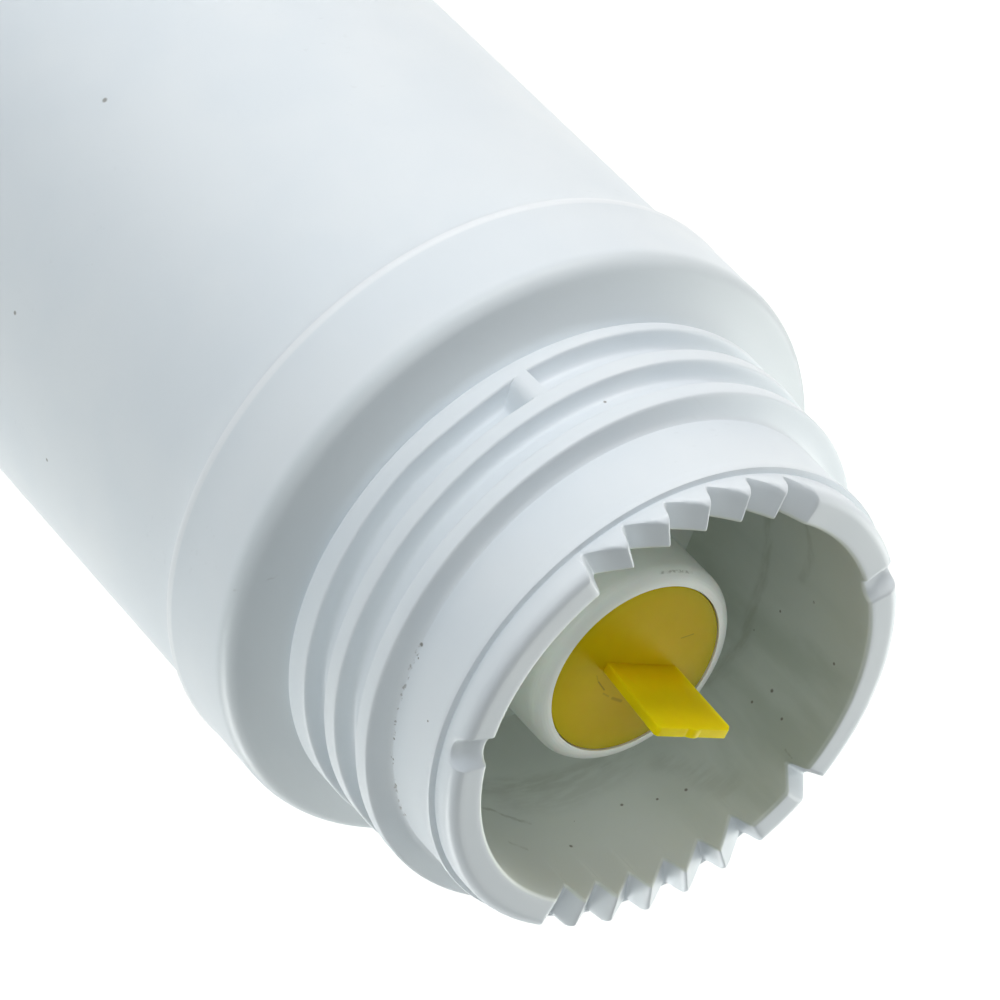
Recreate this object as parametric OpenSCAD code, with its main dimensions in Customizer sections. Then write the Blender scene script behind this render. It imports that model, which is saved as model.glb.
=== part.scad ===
// Screw-in water filter cartridge: a welded white bottle with a threaded, ratchet-ended neck,
// a central connector closed by a yellow transport plug, and the filter beds inside.
// The origin is the centre of the base and +Z runs up to the neck. Angles are degrees about +Z from +X.

/* [Bottle] */
// Height from the base to the flat end of the rim
overall_h = 310; // [290:1:340]
// Outside diameter of the bottle
body_d = 87.8; // [84:0.2:94]
// Wall of the bottle
body_wall = 2.6; // [2:0.1:3.4]
// Thickness of the bottle's floor
floor_t = 2.8; // [2:0.1:4]
// Height that the middle of the base is pushed up
push_up_h = 2.4; // [1:0.1:4]
// Radius of the bottom edge
base_round_r = 7; // [4:0.5:9]
// Width of the flat foot ring
foot_w = 4; // [2:0.5:6]
// Height of the flare under the seam
flare_h = 7; // [4:0.5:10]

/* [Collar and shoulder] */
// How far the collar stands out from the bottle
collar_step = 1.45; // [1:0.05:2.5]
// How far the weld bead stands out from the collar
bead_step = 0.1; // [0.05:0.05:0.6]
// Height of the weld bead
bead_h = 0.8; // [0.6:0.1:1.6]
// Height of the straight collar above the seam
collar_h = 11.9; // [8:0.1:16]
// Height of the shoulder between the collar and the neck
shoulder_h = 5.5; // [5:0.1:8]
// Radius on the shoulder's outer edge
shoulder_round = 2.5; // [1.5:0.1:3.5]
// Slope of the shoulder from level where it leaves that radius
shoulder_slope = 20; // [15:1:25]
// Wall of the shoulder and collar
head_wall = 4.2; // [3.6:0.1:5]
// Length of the lip that locates the head inside the bottle
lip_h = 4; // [3:0.5:6]
// Wall of that lip
lip_wall = 1.8; // [1.4:0.1:2.4]

/* [Neck] */
// Height of the neck from the shoulder to the end of the rim
neck_h = 32; // [31:0.5:36]
// Diameter of the neck's foot where it meets the shoulder
neck_foot_d = 74; // [73.4:0.2:75]
// Outside diameter of the plain skirt below the rim
skirt_d = 69.6; // [69:0.1:70.4]
// Bore of the neck
bore_d = 59; // [58:0.2:60.4]
// Height of the rim band above the step
rim_band_h = 3.6; // [3.2:0.1:4.4]
// Depth of the step between the skirt and the rim band
rim_step = 0.5; // [0.3:0.05:0.8]
// Radius on the rim's outer edge
rim_round = 1.5; // [1:0.1:3]
// Depth of the recess from the end of the rim
recess_depth = 36.5; // [35:0.5:37.5]

/* [Thread] */
// Diameter over the thread
thread_d = 77.4; // [76.6:0.1:78.4]
// Diameter at the bottom of the thread groove
groove_d = 71.8; // [71:0.1:72.6]
// Distance from one ridge to the next
thread_pitch = 7; // [6.8:0.05:7.2]
// Number of ridges
ridges = 3; // [2:1:3]
// Width of each ridge at the bottom of the groove
ridge_w = 4.1; // [3.7:0.1:4.6]
// Width that each flank takes from the ridge at its crest
flank_w = 0.8; // [0.5:0.05:1]
// Height of the first ridge's lower face above the shoulder
flange_gap = 0.7; // [0.4:0.1:1.2]
// Width that the first ridge's flat lower face takes off it
flange_trim = 0.35; // [0.1:0.05:0.6]
// Middle angle of the stop rib in the groove
stop_angle = 247.2; // [240:0.2:250]
// Angle that the stop rib's outer face spans
stop_span = 3.5; // [2.5:0.1:5]
// Angle over which the stop rib's far side slopes to the groove floor
stop_slope = 5; // [3:0.5:8]
// Width of the ramp beside the stop rib
ramp_w = 1.6; // [1:0.1:2]
// Angle that the ramp spans
ramp_span = 26; // [20:1:30]

/* [Ratchet rim] */
// Teeth in each of the two groups
teeth = 6; // [4:1:7]
// Angle from one tooth to the next
tooth_pitch = 10.4; // [10:0.1:11]
// Angle of a tooth's long flank
tooth_flank = 8.7; // [8:0.1:8.8]
// Angle of a tooth's steep side
tooth_rise = 1.5; // [0.8:0.1:1.8]
// Depth of the teeth
tooth_depth = 3.6; // [3:0.1:4]
// Angle of the last valley of the first group
valley_angle = 81.8; // [76:0.2:86]
// Radius of the half-round notches
notch_r = 2.3; // [1.8:0.1:2.6]
// Depth of the half-round notches
notch_depth = 2; // [1.5:0.1:2.2]
// Angle of the first half-round notch
notch_a = 312; // [305:1:320]
// Angle of the second half-round notch
notch_b = 161; // [155:1:166]
// Angle of the V slot's bottom
slot_angle = 101; // [98:1:112]
// Depth of the V slot
slot_depth = 3.5; // [2.5:0.1:4]
// Angle of the V slot's long flank
slot_flank = 5.3; // [4:0.1:7]
// Angle of the V slot's steep side
slot_rise = 2.5; // [1.5:0.1:3.5]

/* [Connector] */
// Outside diameter of the central hub
hub_d = 30.2; // [28.6:0.1:31]
// Depth of the hub's face below the end of the rim
hub_depth = 9.8; // [8:0.1:12]
// Radius on the hub's outer edge
hub_round = 2.1; // [0.5:0.1:2.4]
// Bore of the hub, which takes the filter head's spigot
hub_bore_d = 20.9; // [20:0.1:21.6]
// Depth of the hub's bore from its face
hub_bore_depth = 23; // [21:0.5:24]
// Thickness of the recess floor
insert_t = 4.6; // [4:0.1:5]
// Width of the ledge that the recess floor is welded against
ledge_w = 3.4; // [3:0.1:3.8]
// Number of ports in the recess floor
ports = 8; // [4:1:10]
// Diameter of each port
port_d = 5; // [3:0.2:6]
// Length of the riser tube's socket below the recess floor
socket_h = 11; // [9:0.5:14]
// Wall of that socket
socket_wall = 3.1; // [2.8:0.1:3.6]
// Thickness of the floor ring's seal
insert_seal_t = 2.2; // [1.8:0.1:2.4]
// Thickness of the spigot's seal in the hub
hub_seal_t = 2.4; // [2:0.1:2.6]
// Depth of the spigot's seal below the hub's face
hub_seal_depth = 14; // [12.5:0.5:17]
// Thickness of the riser tube's seal
riser_seal_t = 1.7; // [1.4:0.1:2]

/* [Transport plug] */
// Diameter of the plug's disc
plug_d = 25.4; // [25:0.1:26]
// Thickness of the plug's disc
plug_t = 1.6; // [1.2:0.1:2]
// Depth of the disc below the hub's face
plug_sink = 0.15; // [0:0.05:0.4]
// Length of the plug's stem in the hub
stem_h = 8; // [5:0.5:10]
// Wall of the plug's stem
stem_wall = 1.5; // [1:0.1:2]
// Width of the pull tab where it leaves the disc
tab_w = 12.2; // [10:0.1:14]
// Extra width of the pull tab at its end
tab_flare = 0.5; // [0:0.1:1]
// Thickness of the pull tab
tab_t = 1.4; // [1:0.1:2]
// Height that the pull tab stands out of the rim
tab_proud = 3.1; // [1:0.1:5]
// Angle of the pull tab's width
tab_angle = 119; // [100:1:140]
// Corner cut of the pull tab's free end
tab_corner = 0.8; // [0.3:0.1:1.2]

/* [Filter inside] */
// Outside diameter of the riser tube
riser_d = 16; // [15.4:0.1:16.6]
// Wall of the riser tube
riser_wall = 1.8; // [1.4:0.1:2.2]
// Height of the chamber under the lower strainer
sump_h = 5; // [4:0.5:8]
// Thickness of each strainer plate
strainer_t = 3; // [2:0.1:4]
// Slots in each strainer plate
strainer_slots = 24; // [12:1:30]
// Width of each strainer slot
slot_w = 1.2; // [0.8:0.1:1.6]
// Length of each strainer slot
slot_l = 20; // [14:1:22]
// Height of the riser tube's socket on the lower strainer
foot_socket_h = 10; // [6:0.5:14]
// Thickness of each fleece pad
fleece_t = 4; // [2:0.5:6]
// Height of the resin bed
resin_h = 148; // [100:1:160]

/* [Fits] */
// Radial clearance of the plug's stem in the hub
plug_clear = 0.05; // [0.03:0.01:0.1]
// Radial clearance of the plug's disc in its seat
disc_clear = 0.15; // [0.1:0.05:0.3]
// Radial clearance of welded and pushed-in pieces
weld_clear = 0.05; // [0.02:0.01:0.1]
// Clearance of the beds and pads from the walls
bed_clear = 0.3; // [0.2:0.05:0.5]

/* [Hidden] */

// Facets of round pieces, and the overrun of cuts
round_fn = 128;
over = 1;

white = "#e4eaec";
natural = "#d9dcd4";
yellow = "#d8b80a";
black = "#26282a";
fleece_white = "#eceae2";

// Radii
body_r = body_d / 2;
inner_r = body_r - body_wall;
collar_r = body_r + collar_step;
bead_r = collar_r + bead_step;
skirt_r = skirt_d / 2;
rim_r = skirt_r - rim_step;
bore_r = bore_d / 2;
thread_r = thread_d / 2;
groove_r = groove_d / 2;
neck_foot_r = neck_foot_d / 2;
lip_r = inner_r - weld_clear;
seat_r = bore_r + ledge_w;
insert_r = seat_r - weld_clear;
hub_r = hub_d / 2;
hub_bore_r = hub_bore_d / 2;
plug_r = plug_d / 2;
hub_edge_r = min(hub_round, hub_r - plug_r - 2 * disc_clear);
stem_r = hub_bore_r - plug_clear;
riser_r = riser_d / 2;
riser_in_r = riser_r - riser_wall;
socket_r = riser_r + weld_clear;
socket_out_r = socket_r + socket_wall;
bed_r = inner_r - bed_clear;

// Heights
neck_z = overall_h - neck_h;
shoulder_z = neck_z - shoulder_h;
seam_z = shoulder_z - collar_h;
lip_z = seam_z - lip_h;
recess_z = overall_h - recess_depth;
insert_z = recess_z - insert_t;
hub_z = overall_h - hub_depth;
hub_floor_z = hub_z - hub_bore_depth;
plug_z = hub_z - plug_sink;
floor_z = push_up_h + floor_t;
strainer_z = floor_z + sump_h;
bed_z = strainer_z + strainer_t + fleece_t;
resin_top_z = bed_z + resin_h;
carbon_z = resin_top_z + fleece_t;
carbon_top_z = lip_z - strainer_t - fleece_t;
flange_z = neck_z + flange_gap;
ridge_z = flange_z - flange_trim;
groove_end_z = ridge_z + (ridges - 1) * thread_pitch + ridge_w / 4;

// Points of a quadratic curve from p to r that leaves and arrives towards q
function curve(p, q, r, n = 8) =
    [for (i = [0 : n]) let (t = i / n) (1 - t) * (1 - t) * p + 2 * t * (1 - t) * q + t * t * r];

// Points of an arc about c
function arc(c, r, from, to, n = 8) =
    [for (i = [0 : n]) let (a = from + (to - from) * i / n) c + r * [cos(a), sin(a)]];

// Point on a cylinder
function at(r, a, z) = [r * cos(a), r * sin(a), z];

module turned(profile) {
    rotate_extrude($fn = round_fn)
        polygon(profile);
}

// Solid through a row of sections that all have the same number of points
module sweep(rings) {
    n = len(rings[0]);
    last = (len(rings) - 1) * n;
    sides = [for (i = [0 : len(rings) - 2], j = [0 : n - 1], half = [0, 1])
        let (a = i * n + j, b = i * n + (j + 1) % n)
        half == 0 ? [a, a + n, b + n] : [a, b + n, b]];
    ends = [[for (j = [0 : n - 1]) j], [for (j = [n - 1 : -1 : 0]) last + j]];
    polyhedron([for (ring = rings, p = ring) p], concat(sides, ends));
}

// Ring with a round section, as a seal
module o_ring(r, t, z) {
    rotate_extrude($fn = round_fn)
        translate([r, z])
            circle(d = t, $fn = 32);
}

// Section of a ridge between two heights: hollow-cut flanks on both sides of a flat crest
flank_points = 4;
foot_sink = 1.8;
ridge_foot_r = groove_r - foot_sink;
function ridge_section(low, high) =
    let (flank = [for (i = [0 : flank_points]) let (t = 90 * i / flank_points)
             [groove_r + (thread_r - groove_r) * (1 - cos(t)), flank_w * sin(t)]])
    concat([[ridge_foot_r, high]],
           [for (p = flank) [p[0], high - p[1]]],
           [for (i = [flank_points : -1 : 0]) [flank[i][0], low + flank[i][1]]],
           [[ridge_foot_r, low]]);

// Upper foot of the first ridge, and lower foot of the second
first_top_z = ridge_z + ridge_w;
second_low_z = ridge_z + thread_pitch;

module thread_ridges() {
    for (i = [0 : ridges - 1])
        turned(ridge_section(i == 0 ? flange_z : ridge_z + i * thread_pitch,
                             ridge_z + i * thread_pitch + ridge_w));
}

// Rib across the groove that stops the filter head's thread
module stop_rib() {
    side = stop_angle - stop_span / 2;
    face = side + stop_span;
    slope = face + stop_slope;
    translate([0, 0, first_top_z - flank_w])
        linear_extrude(height = second_low_z - first_top_z + 2 * flank_w)
            polygon([ridge_foot_r * [cos(side), sin(side)],
                     thread_r * [cos(side), sin(side)],
                     thread_r * [cos(stop_angle), sin(stop_angle)],
                     thread_r * [cos(face), sin(face)],
                     groove_r * [cos(slope), sin(slope)],
                     ridge_foot_r * [cos(slope), sin(slope)]]);
}

// Ramp that widens the first ridge beside the stop rib
module stop_ramp() {
    sections = 8;
    low = first_top_z - 2 * flank_w;
    sweep([for (i = [0 : sections])
        let (a = stop_angle + stop_span / 2 + ramp_span * i / sections,
             high = first_top_z - flank_w + ramp_w * sin(180 * i / sections),
             crest_r = thread_r - rim_step)
        [at(ridge_foot_r, a, high), at(crest_r, a, high), at(crest_r, a, low), at(ridge_foot_r, a, low)]]);
}

// V cut across the rim: flank before the valley at angle a, rise after it
module rim_cut(a, depth, flank, rise) {
    lift = over / depth;
    section = [[a - flank * (1 + lift), overall_h + over],
               [a, overall_h - depth],
               [a + rise * (1 + lift), overall_h + over]];
    sweep([for (r = [bore_r - 2 * over, skirt_r + 2 * over]) [for (p = section) at(r, p[0], p[1])]]);
}

module rim_notch(a) {
    rotate([0, 0, a])
        translate([(bore_r + skirt_r) / 2, 0, overall_h + notch_r - notch_depth])
            rotate([0, 90, 0])
                cylinder(r = notch_r, h = skirt_r - bore_r + 2 * over, center = true, $fn = 48);
}

// Half section of the neck, shoulder, collar and the lip inside the bottle
function head_profile() =
    let (inside_z = shoulder_z - head_wall / 2,
         collar_in_r = lip_r - lip_wall,
         lean = [sin(shoulder_slope) - 1, cos(shoulder_slope)],
         shoulder_end = [collar_r, shoulder_z] + shoulder_round * lean,
         fillet_r = neck_foot_r + (collar_r - neck_foot_r) * 0.3)
    concat(
        [[bore_r, overall_h]],
        arc([rim_r - rim_round, overall_h - rim_round], rim_round, 90, 0),
        [[rim_r, overall_h - rim_band_h], [skirt_r, overall_h - rim_band_h - rim_step],
         [skirt_r, groove_end_z], [groove_r, groove_end_z], [groove_r, flange_z + over],
         [neck_foot_r, flange_z + over], [neck_foot_r, neck_z]],
        curve([neck_foot_r, neck_z],
              [fillet_r, shoulder_end[1] + (shoulder_end[0] - fillet_r) * tan(shoulder_slope)],
              shoulder_end),
        arc([collar_r - shoulder_round, shoulder_z], shoulder_round, 90 - shoulder_slope, 0),
        [[collar_r, seam_z + bead_h / 2], [bead_r, seam_z + bead_h / 4], [bead_r, seam_z],
         [lip_r, seam_z], [lip_r, lip_z], [collar_in_r, lip_z],
         [collar_in_r, inside_z - 2 * over]],
        curve([collar_in_r, inside_z - 2 * over],
              [collar_in_r, inside_z],
              [collar_in_r - 2 * over, inside_z + over]),
        [[seat_r, insert_z + over / 2], [seat_r, recess_z], [bore_r, recess_z]]);

module neck_head() color(white) {
    difference() {
        union() {
            turned(head_profile());
            thread_ridges();
            stop_rib();
            stop_ramp();
        }
        for (group = [0, 180], i = [0 : teeth - 1])
            rim_cut(valley_angle - tooth_pitch * i + group, tooth_depth, tooth_flank, tooth_rise);
        rim_cut(slot_angle, slot_depth, slot_flank, slot_rise);
        rim_notch(notch_a);
        rim_notch(notch_b);
    }
}

// Blown bottle: pushed-up base on a foot ring, straight wall, and a flare up to the seam
module body_shell() color(white) {
    foot_r = body_r - base_round_r;
    inside_round = base_round_r - body_wall;
    turned(concat(
        [[0, push_up_h], [foot_r - foot_w - 2 * push_up_h, push_up_h], [foot_r - foot_w, 0]],
        arc([foot_r, base_round_r], base_round_r, -90, 0),
        [[body_r, seam_z - flare_h]],
        curve([body_r, seam_z - flare_h],
              [body_r, seam_z - flare_h / 3],
              [collar_r, seam_z - bead_h / 2]),
        [[bead_r, seam_z - bead_h / 4], [bead_r, seam_z], [inner_r, seam_z]],
        arc([inner_r - inside_round, floor_z + inside_round], inside_round, 0, -90),
        [[0, floor_z]]));
}

// Seal grooves are cut a little wider than the seal is thick
groove_room = 0.2;

module seal_groove(r_in, r_out, t, z) {
    translate([0, 0, z - t / 2 - groove_room])
        difference() {
            cylinder(r = r_out, h = t + 2 * groove_room, $fn = round_fn);
            translate([0, 0, -over])
                cylinder(r = r_in, h = t + 2 * groove_room + 2 * over, $fn = round_fn);
        }
}

insert_seal_z = insert_z + insert_t / 2;
hub_seal_z = hub_z - hub_seal_depth;
riser_seal_z = insert_z - socket_h / 2;

// Share of a seal's thickness that stands out of its groove
seal_out = 0.2;

// Recess floor with its hub on top and the riser tube's socket below
module connector_insert() color(natural) {
    port_r = (hub_r + bore_r) / 2;
    stop_z = insert_z + insert_t / 2;
    difference() {
        turned(concat(
            [[riser_in_r, hub_floor_z], [hub_bore_r, hub_floor_z],
             [hub_bore_r, plug_z - plug_t], [plug_r + disc_clear, plug_z - plug_t],
             [plug_r + disc_clear, hub_z]],
            arc([hub_r - hub_edge_r, hub_z - hub_edge_r], hub_edge_r, 90, 0),
            [[hub_r, recess_z], [insert_r, recess_z], [insert_r, insert_z],
             [socket_out_r, insert_z], [socket_out_r, insert_z - socket_h],
             [socket_r, insert_z - socket_h], [socket_r, stop_z], [riser_in_r, stop_z]]));
        for (i = [0 : ports - 1])
            rotate([0, 0, 360 * i / ports])
                translate([port_r, 0, insert_z - over])
                    cylinder(d = port_d, h = insert_t + 2 * over, $fn = 32);
        seal_groove(seat_r - insert_seal_t - groove_room / 2, insert_r + over, insert_seal_t, insert_seal_z);
        seal_groove(0, hub_bore_r + hub_seal_t * (1 - seal_out), hub_seal_t, hub_seal_z);
        seal_groove(0, socket_r + riser_seal_t - weld_clear, riser_seal_t, riser_seal_z);
    }
}

module insert_seal() color(black) {
    o_ring(seat_r - insert_seal_t / 2, insert_seal_t, insert_seal_z);
}

module hub_seal() color(black) {
    o_ring(hub_bore_r + hub_seal_t * (0.5 - seal_out), hub_seal_t, hub_seal_z);
}

module riser_seal() color(black) {
    o_ring(riser_r + riser_seal_t / 2, riser_seal_t, riser_seal_z);
}

// Yellow plug: disc flush in the hub, hollow stem in its bore, and a flat tab to pull it out by
module transport_plug() color(yellow) {
    stem_round = 0.6;
    tab_h = overall_h + tab_proud - plug_z;
    turned(concat(
        [[0, plug_z], [plug_r, plug_z], [plug_r, plug_z - plug_t], [stem_r, plug_z - plug_t]],
        arc([stem_r - stem_round, plug_z - plug_t - stem_h + stem_round], stem_round, 0, -90),
        [[stem_r - stem_wall, plug_z - plug_t - stem_h], [stem_r - stem_wall, plug_z - plug_t],
         [0, plug_z - plug_t]]));
    rotate([0, 0, tab_angle])
        translate([0, tab_t / 2, plug_z])
            rotate([90, 0, 0])
                linear_extrude(height = tab_t)
                    polygon([[-tab_w / 2, -plug_t / 2], [tab_w / 2, -plug_t / 2],
                             [tab_w / 2 + tab_flare / 2, tab_h - tab_corner],
                             [tab_w / 2 + tab_flare / 2 - tab_corner, tab_h],
                             [-tab_w / 2 - tab_flare / 2 + tab_corner / 2, tab_h],
                             [-tab_w / 2 - tab_flare / 2, tab_h - tab_corner / 2]]);
}

// Annular piece between two heights
module ring(r_in, r_out, low, high) {
    turned([[r_in, low], [r_out, low], [r_out, high], [r_in, high]]);
}

module riser_tube() color(natural) {
    ring(riser_in_r, riser_r, strainer_z, insert_z + insert_t / 2);
}

module strainer_cuts(z) {
    middle_r = (socket_out_r + inner_r) / 2;
    for (i = [0 : strainer_slots - 1])
        rotate([0, 0, 360 * i / strainer_slots])
            translate([middle_r, 0, z + strainer_t / 2])
                cube([slot_l, slot_w, strainer_t + 2 * over], center = true);
}

module top_strainer() color(natural) {
    difference() {
        ring(riser_r + bed_clear, inner_r - weld_clear, lip_z - strainer_t, lip_z);
        strainer_cuts(lip_z - strainer_t);
    }
}

// Lower strainer: slotted plate on a short wall, with the riser tube's socket in the middle
module bottom_strainer() color(natural) {
    stand_r = inner_r - base_round_r - 2 * over;
    stand_w = 1.6;
    windows = 8;
    window_w = 8;
    stop_t = 2;
    difference() {
        union() {
            ring(riser_in_r, bed_r, strainer_z, strainer_z + strainer_t);
            ring(riser_in_r, socket_out_r, strainer_z - stop_t, strainer_z + strainer_t);
            ring(socket_r, socket_out_r, strainer_z, strainer_z + strainer_t + foot_socket_h);
            ring(stand_r - stand_w, stand_r, floor_z, strainer_z + strainer_t / 2);
        }
        translate([0, 0, strainer_z])
            cylinder(r = socket_r, h = strainer_t + foot_socket_h + over, $fn = round_fn);
        strainer_cuts(strainer_z);
        for (i = [0 : windows - 1])
            rotate([0, 0, 360 * i / windows])
                translate([stand_r - 2 * stand_w, -window_w / 2, floor_z - over])
                    cube([3 * stand_w, window_w, sump_h * 0.6 + over]);
    }
}

module bottom_fleece() color(fleece_white) {
    ring(socket_out_r + bed_clear, bed_r, strainer_z + strainer_t, bed_z);
}

// The beds leave room for the strainer's socket at their foot
module resin_bed() color("#b07a35") {
    socket_top = strainer_z + strainer_t + foot_socket_h + bed_clear;
    turned([[socket_out_r + bed_clear, bed_z], [bed_r, bed_z], [bed_r, resin_top_z],
            [riser_r + bed_clear, resin_top_z], [riser_r + bed_clear, socket_top],
            [socket_out_r + bed_clear, socket_top]]);
}

module middle_fleece() color(fleece_white) {
    ring(riser_r + bed_clear, bed_r, resin_top_z, carbon_z);
}

module carbon_bed() color("#2b2b2b") {
    ring(riser_r + bed_clear, bed_r, carbon_z, carbon_top_z);
}

module top_fleece() color(fleece_white) {
    ring(riser_r + bed_clear, bed_r, carbon_top_z, carbon_top_z + fleece_t);
}

body_shell();
neck_head();
connector_insert();
insert_seal();
hub_seal();
transport_plug();
riser_tube();
riser_seal();
top_strainer();
top_fleece();
carbon_bed();
middle_fleece();
resin_bed();
bottom_fleece();
bottom_strainer();
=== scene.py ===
"""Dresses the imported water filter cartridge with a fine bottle, threaded head and pull-out plug,
moulded-plastic finishes and a plain stage. Lengths are metres, angles about +Z from +X."""
import math

import bmesh
import bpy
from bpy.props import FloatProperty, FloatVectorProperty, IntProperty, PointerProperty
from mathutils import Matrix, Vector


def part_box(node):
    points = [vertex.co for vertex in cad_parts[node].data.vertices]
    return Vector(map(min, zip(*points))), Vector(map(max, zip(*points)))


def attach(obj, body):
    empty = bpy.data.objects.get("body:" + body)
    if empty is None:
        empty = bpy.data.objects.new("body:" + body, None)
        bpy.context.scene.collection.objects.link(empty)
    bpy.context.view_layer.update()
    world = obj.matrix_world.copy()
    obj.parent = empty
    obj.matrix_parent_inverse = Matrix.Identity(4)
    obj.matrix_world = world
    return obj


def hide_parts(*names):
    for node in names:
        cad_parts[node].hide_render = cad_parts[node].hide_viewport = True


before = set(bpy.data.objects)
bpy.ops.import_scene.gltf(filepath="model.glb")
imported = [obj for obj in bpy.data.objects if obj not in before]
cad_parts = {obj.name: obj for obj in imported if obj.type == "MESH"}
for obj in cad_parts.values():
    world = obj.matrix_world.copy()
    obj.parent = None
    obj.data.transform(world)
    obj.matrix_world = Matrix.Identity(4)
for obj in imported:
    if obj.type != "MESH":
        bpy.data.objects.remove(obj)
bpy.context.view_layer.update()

bl_info = {
    "name": "Water Filter Cartridge",
    "version": (1, 0, 0),
    "blender": (4, 5, 0),
    "location": "View3D > Sidebar > Cartridge",
    "description": "Builds the looks of a screw-in water filter cartridge over its packed frame",
    "category": "Object",
}

MM = 0.001
DEG = math.pi / 180
FULL_TURN = 2 * math.pi

# Heights that the frame gives: the rim, the head's lip inside the bottle, the hub's face, the weld
# seam, and the plug's highest and lowest points
RIM_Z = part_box("neck_head")[1][2]
LIP_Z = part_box("neck_head")[0][2]
HUB_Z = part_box("connector_insert")[1][2]
SEAM_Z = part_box("body_shell")[1][2]
PLUG_TOP_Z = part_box("transport_plug")[1][2]
PLUG_LOW_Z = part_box("transport_plug")[0][2]


# ---- Settings ----------------------------------------------------------------------------------

def length(name, description, millimetres):
    """Length property whose default is written in millimetres"""
    return FloatProperty(name=name, description=description, default=millimetres * MM,
                         min=0.0, precision=5, unit="LENGTH")


def turn(name, description, degrees):
    """Angle property whose default is written in degrees"""
    return FloatProperty(name=name, description=description, default=degrees * DEG, unit="ROTATION")


def share(name, description, default):
    """Property between nothing and all"""
    return FloatProperty(name=name, description=description, default=default, min=0.0, max=1.0,
                         subtype="FACTOR")


def colour(name, description, rgb):
    """Colour property"""
    return FloatVectorProperty(name=name, description=description, default=rgb, size=3,
                               min=0.0, max=1.0, subtype="COLOR")


class BottleSizes(bpy.types.PropertyGroup):
    """Sizes of the bottle and of the collar that is welded to it"""
    body_d: length("Bottle diameter", "Outside diameter of the bottle", 87.8)
    wall: length("Wall", "Wall of the bottle", 2.6)
    floor_t: length("Floor", "Thickness of the bottle's floor", 2.8)
    push_up: length("Push-up", "Height that the middle of the base is pushed up", 2.4)
    base_round: length("Base radius", "Radius of the bottom edge", 7.0)
    foot_w: length("Foot ring", "Width of the flat foot ring", 4.0)
    ease: length("Base ease", "Size of the soft bends beside the foot ring", 0.6)
    flare_h: length("Flare", "Height of the flare under the seam", 7.0)
    collar_step: length("Collar step", "How far the collar stands out from the bottle", 1.4)
    bead_step: length("Bead", "How far the weld bead stands out from the collar", 0.15)
    bead_h: length("Bead height", "Height of the weld bead", 1.1)


class HeadSizes(bpy.types.PropertyGroup):
    """Sizes of the shoulder, the neck and the thread"""
    neck_h: length("Neck height", "Height from the shoulder to the end of the rim", 32.0)
    shoulder_h: length("Shoulder", "Height of the shoulder", 5.5)
    shoulder_round: length("Shoulder radius", "Radius on the shoulder's outer edge", 2.5)
    shoulder_slope: turn("Shoulder slope", "Slope of the shoulder from level at that radius", 20)
    head_wall: length("Head wall", "Wall of the shoulder and collar", 4.2)
    lip_wall: length("Lip wall", "Wall of the lip inside the bottle", 1.8)
    lip_play: length("Lip play", "Gap between that lip and the bottle's wall", 0.05)
    foot_d: length("Neck foot", "Diameter of the neck's foot", 74.0)
    skirt_d: length("Skirt", "Outside diameter of the plain skirt", 69.6)
    bore_d: length("Bore", "Bore of the neck", 59.0)
    recess: length("Recess", "Depth of the recess from the end of the rim", 36.5)
    ledge_w: length("Ledge", "Width of the ledge over the recess floor", 3.4)
    insert_t: length("Recess floor", "Thickness of the recess floor", 4.6)
    band_h: length("Rim band", "Height of the rim band above the step", 3.6)
    rim_step: length("Rim step", "Depth of the step below the rim band", 0.5)
    rim_round: length("Rim radius", "Radius on the rim's outer edge", 1.5)
    rim_groove: length("Rim groove", "Depth of the parting groove below the rim band", 0.2)
    rim_lip: length("Rim lip", "How far the skirt's edge stands out beside that groove", 0.22)
    soft: length("Edge radius", "Radius of the neck's small edges", 0.5)
    thread_d: length("Thread diameter", "Diameter over the thread", 77.4)
    groove_d: length("Groove diameter", "Diameter at the bottom of the groove", 71.8)
    pitch: length("Pitch", "Climb of the thread in one turn", 7.0)
    ridge_w: length("Ridge width", "Width of the ridge at its foot", 4.1)
    flank_w: length("Flank", "Width that each flank takes from the crest", 0.8)
    flange_gap: length("Flange gap", "Height of the flange's flat face above the shoulder", 0.7)
    thread_start: turn("Thread start", "Angle where the thread's climb begins", 77.0)
    groove_open: turn("Groove start", "Turn after which the groove opens over the flange", 434.0)
    thread_end: turn("Thread end", "Turn after which the thread has run out", 1123.0)
    run_out: turn("Run-out", "Angle over which the thread fades", 24.0)
    taper: length("Taper", "How much lower the thread's last turn is", 0.35)
    taper_from: turn("Taper start", "Turn after which the thread gets lower", 590.0)
    stop_at: turn("Stop rib", "Middle angle of the stop rib's outer face", 246.7)
    stop_span: turn("Stop span", "Angle that the stop rib's outer face spans", 2.5)
    stop_slope: turn("Stop slope", "Angle over which the stop rib slopes away", 5.0)
    ramp_w: length("Ramp", "Width of the ramp beside the stop rib", 0.5)
    ramp_span: turn("Ramp span", "Angle that the ramp spans", 26.0)


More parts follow.
